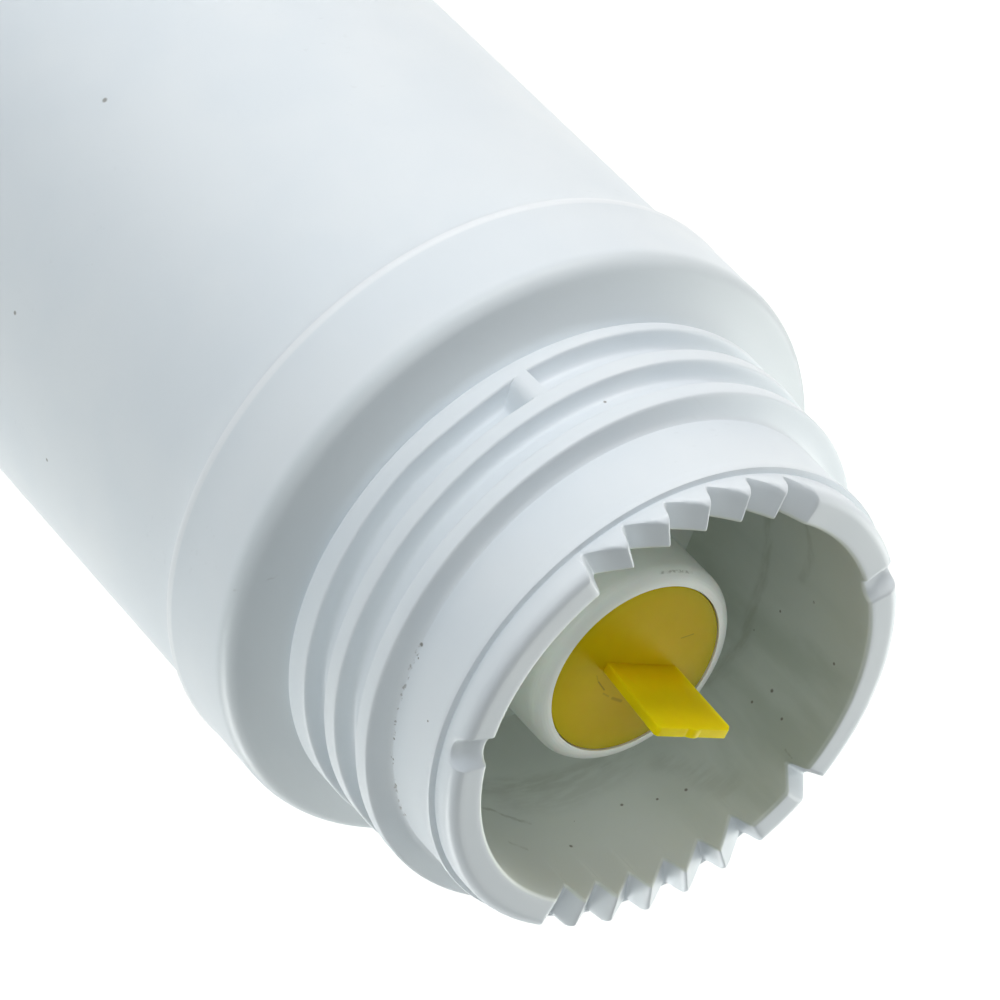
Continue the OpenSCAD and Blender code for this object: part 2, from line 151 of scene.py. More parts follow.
class RimSizes(bpy.types.PropertyGroup):
    """Sizes of the ratchet teeth, the slot and the notches in the rim"""
    teeth: IntProperty(name="Teeth", description="Teeth in each of the two groups", default=6,
                       min=1)
    pitch: turn("Tooth pitch", "Angle from one tooth to the next", 10.4)
    flank: turn("Tooth flank", "Angle of a tooth's long flank", 8.7)
    rise: turn("Tooth rise", "Angle of a tooth's steep side", 1.5)
    far_depth: length("Far depth", "Depth of the teeth on the far side", 3.85)
    near_depth: length("Near depth", "Depth of the teeth on the near side", 3.2)
    last_valley: turn("Last valley", "Angle of the first group's last valley", 81.8)
    slot_at: turn("Slot", "Angle of the slot's bottom", 101.0)
    slot_flank: turn("Slot flank", "Angle of the slot's long flank", 5.3)
    slot_rise: turn("Slot rise", "Angle of the slot's steep side", 2.5)
    slot_depth: length("Slot depth", "Depth of the slot", 3.5)
    notch_a: turn("Notch A", "Angle of the first half-round notch", 312.0)
    notch_b: turn("Notch B", "Angle of the second half-round notch", 161.0)
    notch_r: length("Notch radius", "Radius of the half-round notches", 2.3)
    notch_depth: length("Notch depth", "Depth of the half-round notches", 2.0)
    notch_rise: share("Notch rise", "How much shallower the notches are at the bore", 0.4)


class PlugSizes(bpy.types.PropertyGroup):
    """Sizes of the yellow transport plug"""
    disc_d: length("Disc", "Diameter of the plug's disc", 25.4)
    disc_t: length("Disc thickness", "Thickness of the plug's disc", 1.6)
    sink: length("Sink", "Depth of the disc below the hub's face", 0.15)
    stem_d: length("Stem", "Diameter of the stem in the hub", 20.8)
    stem_wall: length("Stem wall", "Wall of the stem", 1.5)
    tab_w: length("Tab width", "Width of the pull tab at the disc", 12.2)
    tab_flare: length("Tab flare", "Extra width of the pull tab at its end", 1.0)
    tab_t: length("Tab thickness", "Thickness of the pull tab", 1.4)
    tab_corner: length("Tab corner", "Corner cut of the tab's free end", 0.8)
    tab_at: turn("Tab angle", "Angle of the tab's width", 119.0)
    tab_off: length("Tab offset", "How far the tab stands off the axis along its width", 0.8)
    tab_lean: length("Tab lean", "How far the tab's end leans over", 0.8)
    nub: length("Nub", "Half width of the moulding's nub on the tab's end", 0.6)
    edge: length("Edge", "Radius of the plug's edges", 0.15)


class Finishes(bpy.types.PropertyGroup):
    """Colours of the cartridge's materials"""
    white: colour("White", "White polypropylene of the bottle and head", (0.79, 0.83, 0.86))
    bore: colour("Bore", "Grey-green tone of the plastic inside the neck", (0.79, 0.84, 0.78))
    # Painted shade: grey-green colour that darkens one side of the bore
    shade_film: colour("Film", "Grey-green film that water has left in the bore", (0.46, 0.52, 0.44))
    # Painted highlight: pale colour of the line along the weld bead
    weld: colour("Weld", "Lighter plastic along the weld bead", (0.87, 0.90, 0.925))
    # Painted shade: grey colour that darkens the shoulder
    shoulder_shade: colour("Dust", "Grey film of dust on the shoulder", (0.58, 0.63, 0.65))
    natural: colour("Natural", "Natural plastic of the hub and inner pieces", (0.86, 0.90, 0.85))
    yellow: colour("Yellow", "Yellow of the plug's thin tab", (1.0, 0.64, 0.004))
    # Painted shade: darker yellow of the disc and the tab's foot; a darker copy of it is the disc's
    # dirt
    shaded_yellow: colour("Deep yellow", "Yellow where the plug is thick", (0.64, 0.45, 0.002))
    dirt: colour("Dirt", "Brown-grey of stains and specks", (0.13, 0.115, 0.08))
    stain: colour("Stain", "Green-brown of the tide marks in the bore", (0.27, 0.29, 0.20))
    rubber: colour("Rubber", "Black of the seals", (0.022, 0.022, 0.024))
    fleece: colour("Fleece", "Off-white of the fleece pads", (0.78, 0.76, 0.69))
    carbon: colour("Carbon", "Black of the activated carbon", (0.018, 0.018, 0.02))
    resin: colour("Resin", "Amber of the ion exchange beads", (0.46, 0.25, 0.07))
    wear: share("Wear", "Strength of the stains and scuffs", 0.8)


class StageSizes(bpy.types.PropertyGroup):
    """Camera, lamps and floor"""
    lens: FloatProperty(name="Lens", description="Focal length", default=203.84, unit="CAMERA")
    eye: FloatVectorProperty(name="Camera", description="Place of the camera", size=3,
                             default=(-2.52 * MM, -580.99 * MM, 723.64 * MM), subtype="XYZ",
                             unit="LENGTH", precision=5)
    tilt: turn("Tilt", "Camera's tilt from straight down", 51.729)
    roll: turn("Roll", "Camera's turn about its line of sight", 135.984)
    floor: length("Floor", "Side of the square floor", 8000.0)
    pale: colour("Floor colour", "Colour of the plain floor", (0.82, 0.82, 0.82))
    sky: FloatProperty(name="Sky", description="Strength of the even light", default=0.04, min=0.0)


class CartridgeSettings(bpy.types.PropertyGroup):
    """All settings of the cartridge"""
    bottle: PointerProperty(type=BottleSizes)
    head: PointerProperty(type=HeadSizes)
    rim: PointerProperty(type=RimSizes)
    plug: PointerProperty(type=PlugSizes)
    finish: PointerProperty(type=Finishes)
    stage: PointerProperty(type=StageSizes)


# ---- Shapes ------------------------------------------------------------------------------------

def smooth(x):
    """0 up to 1 with a soft start and end"""
    x = min(max(x, 0.0), 1.0)
    return x * x * (3 - 2 * x)


def between(a, b, part):
    """Value that lies that part of the way from a to b"""
    return a + (b - a) * part


def away(angle, place):
    """Signed angle from place to angle, the short way round"""
    return (angle - place + math.pi) % FULL_TURN - math.pi


def curve(start, pull, end, steps=10):
    """Points from start to end that leave and arrive towards pull"""
    points = []
    for i in range(steps + 1):
        t = i / steps
        points.append(tuple((1 - t) ** 2 * a + 2 * t * (1 - t) * b + t * t * c
                            for a, b, c in zip(start, pull, end)))
    return points


def arc(centre, radius, first, last, steps):
    """Points on an arc between two angles in degrees"""
    points = []
    for i in range(steps + 1):
        angle = between(first, last, i / steps) * DEG
        points.append((centre[0] + radius * math.cos(angle), centre[1] + radius * math.sin(angle)))
    return points


def at(angle, radius, height):
    """Point on a cylinder"""
    return (radius * math.cos(angle), radius * math.sin(angle), height)


def finish_mesh(mesh, sharp=38.0):
    """Joins double points, drops what is left loose, and shades smooth up to the sharp angle"""
    work = bmesh.new()
    work.from_mesh(mesh)
    bmesh.ops.remove_doubles(work, verts=work.verts, dist=0.002 * MM)
    bmesh.ops.dissolve_degenerate(work, edges=work.edges, dist=0.002 * MM)
    bmesh.ops.delete(work, geom=[e for e in work.edges if not e.link_faces], context="EDGES")
    bmesh.ops.delete(work, geom=[v for v in work.verts if not v.link_edges], context="VERTS")
    bmesh.ops.recalc_face_normals(work, faces=work.faces)
    work.to_mesh(mesh)
    work.free()
    mesh.shade_smooth()
    mesh.set_sharp_from_angle(angle=sharp * DEG)


def new_object(name, data):
    """Object for a mesh, lamp or camera, in the scene"""
    thing = bpy.data.objects.new(name, data)
    bpy.context.scene.collection.objects.link(thing)
    return thing


def skin(name, columns):
    """Closed mesh over columns of points, in which each column's last point joins its first"""
    rows = len(columns[0])
    faces = []
    for column in range(len(columns) - 1):
        for row in range(rows):
            low = column * rows + row
            high = column * rows + (row + 1) % rows
            faces.append((low, high, high + rows, low + rows))
    mesh = bpy.data.meshes.new(name)
    mesh.from_pydata([point for column in columns for point in column], [], faces)
    finish_mesh(mesh)
    return new_object(name, mesh)


def turned(name, profile, steps):
    """Closed mesh of a profile that is turned about the axis"""
    angles = [FULL_TURN * i / steps for i in range(steps + 1)]
    return skin(name, [[at(a, radius, height) for radius, height in profile] for a in angles])


def dress(piece, body, slot_name, material, *nodes):
    """Gives a new piece its material and body, and hides the CAD nodes that it stands for. The
    slot name is not used
    """
    piece.data.materials.append(material)
    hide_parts(*nodes)
    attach(piece, body)


def repaint(node, material):
    """Gives a CAD node another material"""
    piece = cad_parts[node]
    if not piece.material_slots:
        piece.data.materials.append(material)
    for place in piece.material_slots:
        place.material = material


def bottle_profile(s):
    """Outline of the bottle: pushed-up base, foot ring, wall, and the flare up to the weld bead"""
    body_r = s.body_d / 2
    inner_r = body_r - s.wall
    collar_r = body_r + s.collar_step
    top_z = SEAM_Z - s.bead_h / 2
    foot_r = body_r - s.base_round
    inner_round = s.base_round - s.wall
    floor_z = s.push_up + s.floor_t
    ring_in, ease = foot_r - s.foot_w, s.ease
    rise_r = ring_in - 2 * s.push_up
    return (
        [(0.0, s.push_up), (rise_r - 4 * ease, s.push_up)]
        + curve((rise_r - 2 * ease, s.push_up), (rise_r, s.push_up),
                (rise_r + 2 * ease, s.push_up - ease), 5)
        + curve((ring_in - 1.5 * ease, 0.75 * ease), (ring_in, 0.0), (ring_in + ease, 0.0), 5)
        + arc((foot_r, s.base_round), s.base_round, -90, 0, 14)
        + [(body_r, between(s.base_round, SEAM_Z, t)) for t in (0.2, 0.4, 0.6, 0.8)]
        + curve((body_r, SEAM_Z - s.flare_h), (body_r, SEAM_Z - s.flare_h / 3),
                (collar_r, top_z), 14)
        + [(inner_r, top_z)]
        + arc((inner_r - inner_round, floor_z + inner_round), inner_round, 0, -90, 8)
        + [(0.0, floor_z)])


# Flank of the thread ridge: distance in from its foot, as a share of the flank's width, and height
FLANK = ((0.0, 0.0), (0.36, 0.07), (0.62, 0.21), (0.80, 0.40), (0.91, 0.62),
         (0.98, 0.83), (1.06, 0.94), (1.2, 0.985), (1.4, 1.0))
# Rows across the groove's floor, as shares of its width
GROOVE_ROWS = (0.82, 0.5, 0.18)
# Rows at the parting line: heights above the foot of the rim band, as shares of the step's depth
PARTING_ROWS = (0.4, 0.2, 0.05, -0.5, -0.75, -1.1, -2.2, -3.4, -4.8)
# Angles over which the tips of the teeth and the ends of the notches are rounded
TOOTH_SOFT, NOTCH_SOFT = 0.72 * DEG, 0.3 * DEG
# Angles over which the first groove opens and the thread's last turn gets lower
OPENING, LOWERING = 10 * DEG, 60 * DEG


class HeadShape:
    """Section of the threaded head at any angle, worked out from the driving sizes"""

    def __init__(self, bottle, head, rim):
        self.bottle, self.head, self.rim = bottle, head, rim
        self.bore_r = head.bore_d / 2
        self.skirt_r = head.skirt_d / 2
        self.rim_r = self.skirt_r - head.rim_step
        self.crest_r = head.thread_d / 2
        self.groove_r = head.groove_d / 2
        self.foot_r = head.foot_d / 2
        self.collar_r = bottle.body_d / 2 + bottle.collar_step
        self.neck_z = RIM_Z - head.neck_h
        self.flange_z = self.neck_z + head.flange_gap
        self.shoulder_z = self.neck_z - head.shoulder_h
        self.recess_z = RIM_Z - head.recess
        self.thread_top = (self.flange_z + head.pitch * head.thread_end / FULL_TURN
                           + head.soft / 2)
        self.valleys = [(rim.last_valley - rim.pitch * i + group, rim.flank, rim.rise, deep)
                        for group, deep in ((0.0, rim.far_depth), (math.pi, rim.near_depth))
                        for i in range(rim.teeth)]
        self.valleys.append((rim.slot_at, rim.slot_flank, rim.slot_rise, rim.slot_depth))

    def tooth_cut(self, angle):
        """Depth that the teeth and the slot take from the rim"""
        depth = 0.0
        for valley, flank, rise, deep in self.valleys:
            off = away(angle, valley)
            if -flank < off <= 0:
                depth = max(depth, deep * (1 + off / flank))
            elif 0 < off < rise:
                depth = max(depth, deep * (1 - off / rise))
        return depth

    def notch_cut(self, angle):
        """Depth that the half-round notches take from the rim"""
        depth = 0.0
        for notch in (self.rim.notch_a, self.rim.notch_b):
            across = away(angle, notch) * (self.bore_r + self.skirt_r) / 2
            inside = self.rim.notch_r ** 2 - across ** 2
            if inside > 0:
                depth = max(depth, self.rim.notch_depth - self.rim.notch_r + math.sqrt(inside))
        return depth

    def softened(self, cut, angle, spread, samples=11):
        """A cut's depth with its tips and valleys rounded"""
        offsets = [between(-spread, spread, i / (samples - 1)) for i in range(samples)]
        return sum(cut(angle + offset) for offset in offsets) / samples

    def rim_rows(self, angle):
        """From the top of the bore over the rim's end to the step below the rim band"""
        head = self.head
        notch = self.softened(self.notch_cut, angle, NOTCH_SOFT)
        cut = max(self.softened(self.tooth_cut, angle, TOOTH_SOFT), notch)
        top = RIM_Z - cut
        bore_top = top + notch * self.rim.notch_rise
        soft, bend = head.soft, head.rim_round
        centre = (self.rim_r - bend, RIM_Z - bend)
        lean = math.asin(min(max((bend - cut) / bend, 0.0), 1.0))
        corner = soft * (1 - math.sin(lean))
        flat_end = centre[0] + bend * math.cos(lean) - corner
        rows = arc((self.bore_r + soft, bore_top - soft), soft, 180, 90, 4)
        rows += [(between(self.bore_r + soft, flat_end, t), between(bore_top, top, smooth(t * 1.3)))
                 for t in (0.2, 0.4, 0.6, 0.8, 1.0)]
        rows.append((flat_end + 0.7 * corner, top - 0.3 * corner))
        start = math.asin(min(max((top - corner - centre[1]) / bend, 0.0), 1.0))
        for i in range(9):
            lift = start * (1 - i / 8)
            rows.append((centre[0] + bend * math.cos(lift),
                         min(centre[1] + bend * math.sin(lift), top - corner)))
        ledge, lip = head.rim_step, head.rim_lip
        groove, edge = self.rim_r - head.rim_groove, self.skirt_r + lip
        radii = (self.rim_r, self.rim_r - ledge * 0.1, groove, groove, self.skirt_r + lip * 0.6,
                 edge, edge, self.skirt_r + lip * 0.5, self.skirt_r)
        rows += [(radius, RIM_Z - head.band_h + ledge * part)
                 for radius, part in zip(radii, PARTING_ROWS)]
        return rows

    def run_share(self, unwound):
        """How much of the ridge is left where it runs out"""
        return smooth((self.head.thread_end - unwound) / self.head.run_out)

    def floor_above(self, unwound):
        """Radius of the groove over the ridge at that unwound angle"""
        unwound += FULL_TURN
        opened = smooth((unwound - self.head.groove_open) / OPENING)
        floor = between(self.skirt_r, self.groove_r, self.run_share(unwound))
        return between(self.crest_r, floor, opened)

    def ramp(self, angle):
        """Extra width of the flange beside the stop rib"""
        part = (angle - self.head.stop_at - self.head.stop_span / 2) / self.head.ramp_span
        return self.head.ramp_w * math.sin(math.pi * part ** 0.8) if 0 < part < 1 else 0.0

    def rib(self, angle):
        """Radius of the stop rib, or 0 where there is none"""
        off = angle - self.head.stop_at
        half = self.head.stop_span / 2
        if off < -half or off > half + self.head.stop_slope:
            return 0.0
        return between(self.crest_r, self.groove_r, smooth((off - half) / self.head.stop_slope))

    def thread_rows(self, angle):
        """From the skirt down the helical ridges to the flange's edge. The rows climb with the
        thread, so a full turn on they are the next ridge's, and both ends are held level"""
        head = self.head
        low_z = self.flange_z + head.soft
        rows = []
        for lap in (3, 2, 1, 0, -1):
            unwound = angle - head.thread_start + lap * FULL_TURN
            ridge_top = self.flange_z + head.pitch * unwound / FULL_TURN
            ramp = self.ramp(angle) if lap == 0 else 0.0
            gap = head.pitch - head.ridge_w - ramp
            full_r = self.crest_r - head.taper * smooth((unwound - head.taper_from) / LOWERING)
            crest = between(self.skirt_r, full_r, self.run_share(unwound))
            over, under = self.floor_above(unwound), self.floor_above(unwound - FULL_TURN)
            rib_over = self.rib(angle) if lap == 0 else 0.0
            rib_under = self.rib(angle) if lap == 1 else 0.0
            for part in GROOVE_ROWS:
                rows.append((max(over, rib_over), ridge_top + ramp + gap * part))
            for inset, tall in FLANK:
                rows.append((max(between(over, crest, tall), rib_over),
                             ridge_top + ramp - head.flank_w * inset))
            rows.append((crest, ridge_top - head.ridge_w / 2))
            for inset, tall in reversed(FLANK):
                rows.append((max(between(under, crest, tall), rib_under),
                             ridge_top - head.ridge_w + head.flank_w * inset))
        return [(radius, min(max(height, low_z), self.thread_top)) for radius, height in rows]

    def column(self, angle):
        """The whole section at one angle: bore, rim, skirt, thread, shoulder, collar and lip"""
        bottle, head = self.bottle, self.head
        soft = head.soft
        rim_rows = self.rim_rows(angle)
        lip_r = bottle.body_d / 2 - bottle.wall - head.lip_play
        inside_r = lip_r - head.lip_wall
        inside_z = self.shoulder_z - head.head_wall / 2
        bead_r = self.collar_r + bottle.bead_step
        seat_r = self.bore_r + head.ledge_w
        seat_z = self.recess_z - head.insert_t
        rows = [(self.bore_r, between(self.recess_z, rim_rows[0][1], t))
                for t in (0.0, 0.02, 0.4, 0.8)]
        rows += rim_rows
        rows += [(self.skirt_r, between(rim_rows[-1][1], self.thread_top, t)) for t in (0.4, 0.9)]
        rows += self.thread_rows(angle)
        rows += [(self.crest_r - soft * 0.3, self.flange_z + soft * 0.3),
                 (self.crest_r - soft, self.flange_z),
                 (self.foot_r + soft, self.flange_z),
                 (self.foot_r, self.flange_z - soft / 2), (self.foot_r, self.neck_z + soft / 2)]
        bend = arc((self.collar_r - head.shoulder_round, self.shoulder_z), head.shoulder_round,
                   90 - head.shoulder_slope / DEG, 0, 12)
        fillet_r = between(self.foot_r, self.collar_r, 0.3)
        rise = (bend[0][0] - fillet_r) * math.tan(head.shoulder_slope)
        rows += curve((self.foot_r + soft / 2, self.neck_z), (fillet_r, bend[0][1] + rise),
                      bend[0])
        rows += bend[1:]
        rows += [(self.collar_r, between(self.shoulder_z, SEAM_Z, 0.6))]
        for side in (0.5, -0.5):
            edge_z = SEAM_Z + bottle.bead_h * side
            ends = ((self.collar_r, edge_z), (bead_r, SEAM_Z))
            start, end = ends if side > 0 else ends[::-1]
            rows += curve(start, (bead_r, between(edge_z, SEAM_Z, 0.55)), end, 6)
        under_z = SEAM_Z - bottle.bead_h / 2
        rows += [(lip_r, under_z), (lip_r, LIP_Z), (inside_r, LIP_Z),
                 (inside_r, inside_z - 2 * MM), (inside_r - MM, inside_z),
                 (inside_r - 2 * MM, inside_z + MM), (seat_r, seat_z + MM / 2),
                 (seat_r, self.recess_z)]
        return [at(angle, radius, height) for radius, height in rows]

    def angles(self):
        """Even steps with more of them at the teeth, the slot, the notches and the stop rib"""
        dense = []
        for valley, flank, rise, _ in self.valleys:
            for place, near in ((valley - flank, 0.0), (valley, rise / DEG / 2),
                                (valley + rise, 0.0)):
                dense += [place + off * DEG
                          for off in (-0.8, -0.55, -0.3, 0.0, 0.3, 0.55, 0.8, near)]
        for notch in (self.rim.notch_a, self.rim.notch_b):
            dense += [notch + side * off * DEG for side in (-1, 1)
                      for off in (1.8, 2.4, 3, 3.5, 3.9, 4.2, 4.5, 5)]
        side = self.head.stop_at - self.head.stop_span / 2
        dense += [side + off * DEG for off in (-0.35, -0.02, 0.02, 0.35, 0.8)]
        dense = sorted(set(round(a % FULL_TURN, 5) for a in dense))
        even = [FULL_TURN * i / 300 for i in range(301)]
        spare = [a for a in even
                 if a in (0.0, FULL_TURN) or all(abs(a - d) > 0.4 * DEG for d in dense)]
        return sorted(dense + spare)


def plug_profile(s):
    """Outline of the plug: its disc, and the stem with a round end and a hollow"""
    top = HUB_Z - s.sink
    under = top - s.disc_t
    disc_r, stem_r, edge, nose = s.disc_d / 2, s.stem_d / 2, s.edge, 4 * s.edge
    hollow_r = stem_r - s.stem_wall
    return ([(0.0, top), (disc_r * 0.5, top)]
            + arc((disc_r - edge, top - edge), edge, 90, 0, 4)
            + arc((disc_r - edge, under + edge), edge, 0, -90, 4)
            + [(stem_r, under), (stem_r, PLUG_LOW_Z + nose)]
            + arc((stem_r - nose, PLUG_LOW_Z + nose), nose, 0, -90, 6)
            + [(hollow_r, PLUG_LOW_Z), (hollow_r, under), (0.0, under)])


def tab_outline(s, low, high):
    """Outline of the pull tab across its width, with the small nub that the moulding leaves"""
    half = s.tab_w / 2
    wide = half + s.tab_flare / 2
    corner, nub = s.tab_corner, s.nub
    end = high - nub / 3
    top = ((1.6, 0), (1.1, 0.2), (0.4, 0.33), (-0.4, 0.33), (-1.1, 0.2), (-1.6, 0), (-2.2, -0.16),
           (-2.8, 0))
    return ([(-half, low), (half, low), (wide, end - corner), (wide - corner, end)]
            + [(nub * x, end + nub * z) for x, z in top]
            + [(-wide + corner / 2, end), (-wide, end - corner / 2)])


def prism(name, outline, thickness, edge):
    """Closed mesh of an outline in X and Z, centred on Y, with its edges broken"""
    work = bmesh.new()
    flat = work.faces.new([work.verts.new((x, -thickness / 2, z)) for x, z in outline])
    side = bmesh.ops.extrude_face_region(work, geom=[flat])
    bmesh.ops.translate(work, vec=(0, thickness, 0),
                        verts=[v for v in side["geom"] if isinstance(v, bmesh.types.BMVert)])
    bmesh.ops.recalc_face_normals(work, faces=work.faces)
    bmesh.ops.bevel(work, geom=work.edges[:], offset=edge, segments=3, profile=0.5, affect="EDGES")
    mesh = bpy.data.meshes.new(name)
    work.to_mesh(mesh)
    work.free()
    return new_object(name, mesh)


def pull_tab(s):
    """The pull tab from within the disc upwards, set off the axis and leaning"""
    top = HUB_Z - s.sink
    tab = prism("pull_tab", tab_outline(s, top - s.disc_t / 2, PLUG_TOP_Z), s.tab_t, s.edge)
    lean = Matrix.Identity(4)
    lean[1][2] = -s.tab_lean / (PLUG_TOP_Z - top)
    tab.data.transform(Matrix.Rotation(s.tab_at, 4, "Z")
                       @ Matrix.Translation((s.tab_off, 0, top)) @ lean
                       @ Matrix.Translation((0, 0, -top)))
    return tab


def join_solids(piece, other, name):
    """Union of two closed pieces, which takes the first one's place"""
    modifier = piece.modifiers.new(name, "BOOLEAN")
    modifier.operation = "UNION"
    modifier.solver = "EXACT"
    modifier.object = other
    seen = piece.evaluated_get(bpy.context.evaluated_depsgraph_get())
    mesh = bpy.data.meshes.new_from_object(seen)
    if not mesh.polygons:
        raise RuntimeError(f"{name} could not be joined to {piece.name}")
    piece.modifiers.clear()
    old, piece.data = piece.data, mesh
    bpy.data.meshes.remove(old)
    spent = other.data
    bpy.data.objects.remove(other)
    bpy.data.meshes.remove(spent)
    mesh.name = piece.name
    finish_mesh(mesh, 30.0)


# ---- Shader nodes ------------------------------------------------------------------------------

def put(tree, kind, inputs=None, **settings):
    """New node with its options set and its inputs linked or set"""
    node = tree.nodes.new(kind)
    for option, value in settings.items():
        setattr(node, option, value)
    for key, value in (inputs or {}).items():
        if isinstance(value, bpy.types.NodeSocket):
            tree.links.new(value, node.inputs[key])
        else:
            node.inputs[key].default_value = value
    return node


def sums(tree, operation, *values, clamp=False):
    """Result of a Math node"""
    return put(tree, "ShaderNodeMath", dict(enumerate(values)), operation=operation,
               use_clamp=clamp).outputs[0]


def product(tree, *factors):
    """Factors multiplied together"""
    result = factors[0]
    for factor in factors[1:]:
        result = sums(tree, "MULTIPLY", result, factor)
    return result


def most(tree, *masks):
    """Strongest of several masks"""
    result = masks[0]
    for mask in masks[1:]:
        result = sums(tree, "MAXIMUM", result, mask)
    return result


def vectors(tree, operation, *values):
    """Result of a Vector Math node"""
    node = put(tree, "ShaderNodeVectorMath", dict(enumerate(values)), operation=operation)
    scalar = operation in ("LENGTH", "DOT_PRODUCT", "DISTANCE")
    return node.outputs["Value" if scalar else "Vector"]


def mapped(tree, place, **settings):
    """Place that is turned or scaled"""
    inputs = {key.capitalize(): value for key, value in settings.items()}
    return put(tree, "ShaderNodeMapping", {"Vector": place, **inputs}).outputs[0]


def step(tree, value, low, high, start=0.0, end=1.0):
    """Value mapped softly from one range to another"""
    return put(tree, "ShaderNodeMapRange",
               {"Value": value, "From Min": low, "From Max": high, "To Min": start, "To Max": end},
               interpolation_type="SMOOTHSTEP").outputs["Result"]


def noise(tree, place, scale, detail=3.0, rough=0.5):
    """Value of a noise texture"""
    return put(tree, "ShaderNodeTexNoise", {"Vector": place, "Scale": scale, "Detail": detail,
                                            "Roughness": rough}).outputs["Fac"]


def blend(tree, factor, first, second):
    """Mix of two colours"""
    colours = [value if isinstance(value, bpy.types.NodeSocket) else (*value[:3], 1.0)
               for value in (first, second)]
    return put(tree, "ShaderNodeMix", {0: factor, 6: colours[0], 7: colours[1]},
               data_type="RGBA").outputs[2]


def new_group(name, inputs, outputs):
    """Empty shader node group with named sockets: an input without a number is a vector"""
    tree = bpy.data.node_groups.new(name, "ShaderNodeTree")
    for label, default in inputs.items():
        kind = "NodeSocketVector" if default is None else "NodeSocketFloat"
        socket = tree.interface.new_socket(label, in_out="INPUT", socket_type=kind)
        if default is not None:
            socket.default_value = default
    for label in outputs:
        tree.interface.new_socket(label, in_out="OUTPUT", socket_type="NodeSocketFloat")
    return tree, tree.nodes.new("NodeGroupInput").outputs, tree.nodes.new("NodeGroupOutput").inputs


def turned_place(name):
    """Group that gives a point's radius, height and angle about the axis"""
    tree, given, result = new_group(name, {"Position": None}, ["Radius", "Height", "Angle"])
    parts = put(tree, "ShaderNodeSeparateXYZ", {0: given["Position"]}).outputs
    flat = vectors(tree, "MULTIPLY", given["Position"], (1.0, 1.0, 0.0))
    tree.links.new(vectors(tree, "LENGTH", flat), result["Radius"])
    tree.links.new(parts["Z"], result["Height"])
    tree.links.new(sums(tree, "ARCTAN2", parts["Y"], parts["X"]), result["Angle"])
    return tree


def moulded_grain(name):
    """Group for the skin of moulded plastic: fine spark-eroded grain over slow ripples"""
    tree, given, result = new_group(name, {"Position": None, "Grain": 5000.0, "Ripple": 60.0},
                                    ["Height", "Tone"])
    fine = noise(tree, given["Position"], given["Grain"], 2.0)
    slow = noise(tree, given["Position"], given["Ripple"], 2.0)
    height = sums(tree, "MULTIPLY_ADD", fine, 0.12, product(tree, slow, 0.88))
    tree.links.new(height, result["Height"])
    tree.links.new(step(tree, slow, 0.3, 0.7), result["Tone"])
    return tree


def scuffs(name):
    """Group for fine rubbed scratches, which lie in patches"""
    tree, given, result = new_group(name, {"Position": None, "Size": 900.0, "Amount": 0.5},
                                    ["Mask"])
    fields = []
    for lean in (0.35, 1.2, 2.3):
        lines = mapped(tree, given["Position"], rotation=(lean, lean * 0.6, lean * 1.7),
                       scale=(1.0, 0.03, 1.0))
        fields.append(step(tree, noise(tree, lines, given["Size"], 1.0), 0.72, 0.80))
    patches = step(tree, noise(tree, given["Position"], 45.0, 2.0), 0.52, 0.72)
    tree.links.new(product(tree, most(tree, *fields), patches, given["Amount"]), result["Mask"])
    return tree


def specks(name):
    """Group for sparse dark specks, one in some of the cells"""
    tree, given, result = new_group(
        name, {"Position": None, "Cells": 130.0, "Size": 0.03, "Amount": 0.2}, ["Mask"])
    cells = put(tree, "ShaderNodeTexVoronoi", {"Vector": given["Position"],
                                               "Scale": given["Cells"]})
    chance = put(tree, "ShaderNodeSeparateColor", {0: cells.outputs["Color"]}).outputs
    size = product(tree, given["Size"], chance["Green"])
    dot = sums(tree, "LESS_THAN", cells.outputs["Distance"], size)
    chosen = sums(tree, "LESS_THAN", chance["Red"], given["Amount"])
    tree.links.new(product(tree, dot, chosen), result["Mask"])
    return tree


def streak(name):
    """Group for a soft mark along the line between two points"""
    tree, given, result = new_group(
        name, {"Position": None, "Start": None, "End": None, "Width": 0.001}, ["Mask"])
    line = vectors(tree, "SUBTRACT", given["End"], given["Start"])
    reach = vectors(tree, "SUBTRACT", given["Position"], given["Start"])
    part = sums(tree, "DIVIDE", vectors(tree, "DOT_PRODUCT", reach, line),
                vectors(tree, "DOT_PRODUCT", line, line), clamp=True)
    nearest = put(tree, "ShaderNodeVectorMath", {0: line, "Scale": part}, operation="SCALE")
    gap = vectors(tree, "LENGTH", vectors(tree, "SUBTRACT", reach, nearest.outputs[0]))
    far = sums(tree, "DIVIDE", gap, given["Width"])
    tree.links.new(step(tree, far, 0.15, 1.0, 1.0, 0.0), result["Mask"])
    return tree


def spot(name):
    """Group for one small round speck"""
    tree, given, result = new_group(name, {"Position": None, "Centre": None, "Size": 0.0003},
                                    ["Mask"])
    gap = vectors(tree, "DISTANCE", given["Position"], given["Centre"])
    far = sums(tree, "DIVIDE", gap, given["Size"])
    tree.links.new(step(tree, far, 0.35, 1.0, 1.0, 0.0), result["Mask"])
    return tree


def band(name):
    """Group for a soft band around one value"""
    tree, given, result = new_group(
        name, {"Value": 0.0, "Centre": 0.0, "Half width": 0.001, "Soft": 0.0005}, ["Mask"])
    off = sums(tree, "ABSOLUTE", sums(tree, "SUBTRACT", given["Value"], given["Centre"]))
    edge = sums(tree, "ADD", given["Half width"], given["Soft"])
    tree.links.new(step(tree, off, given["Half width"], edge, 1.0, 0.0), result["Mask"])
    return tree


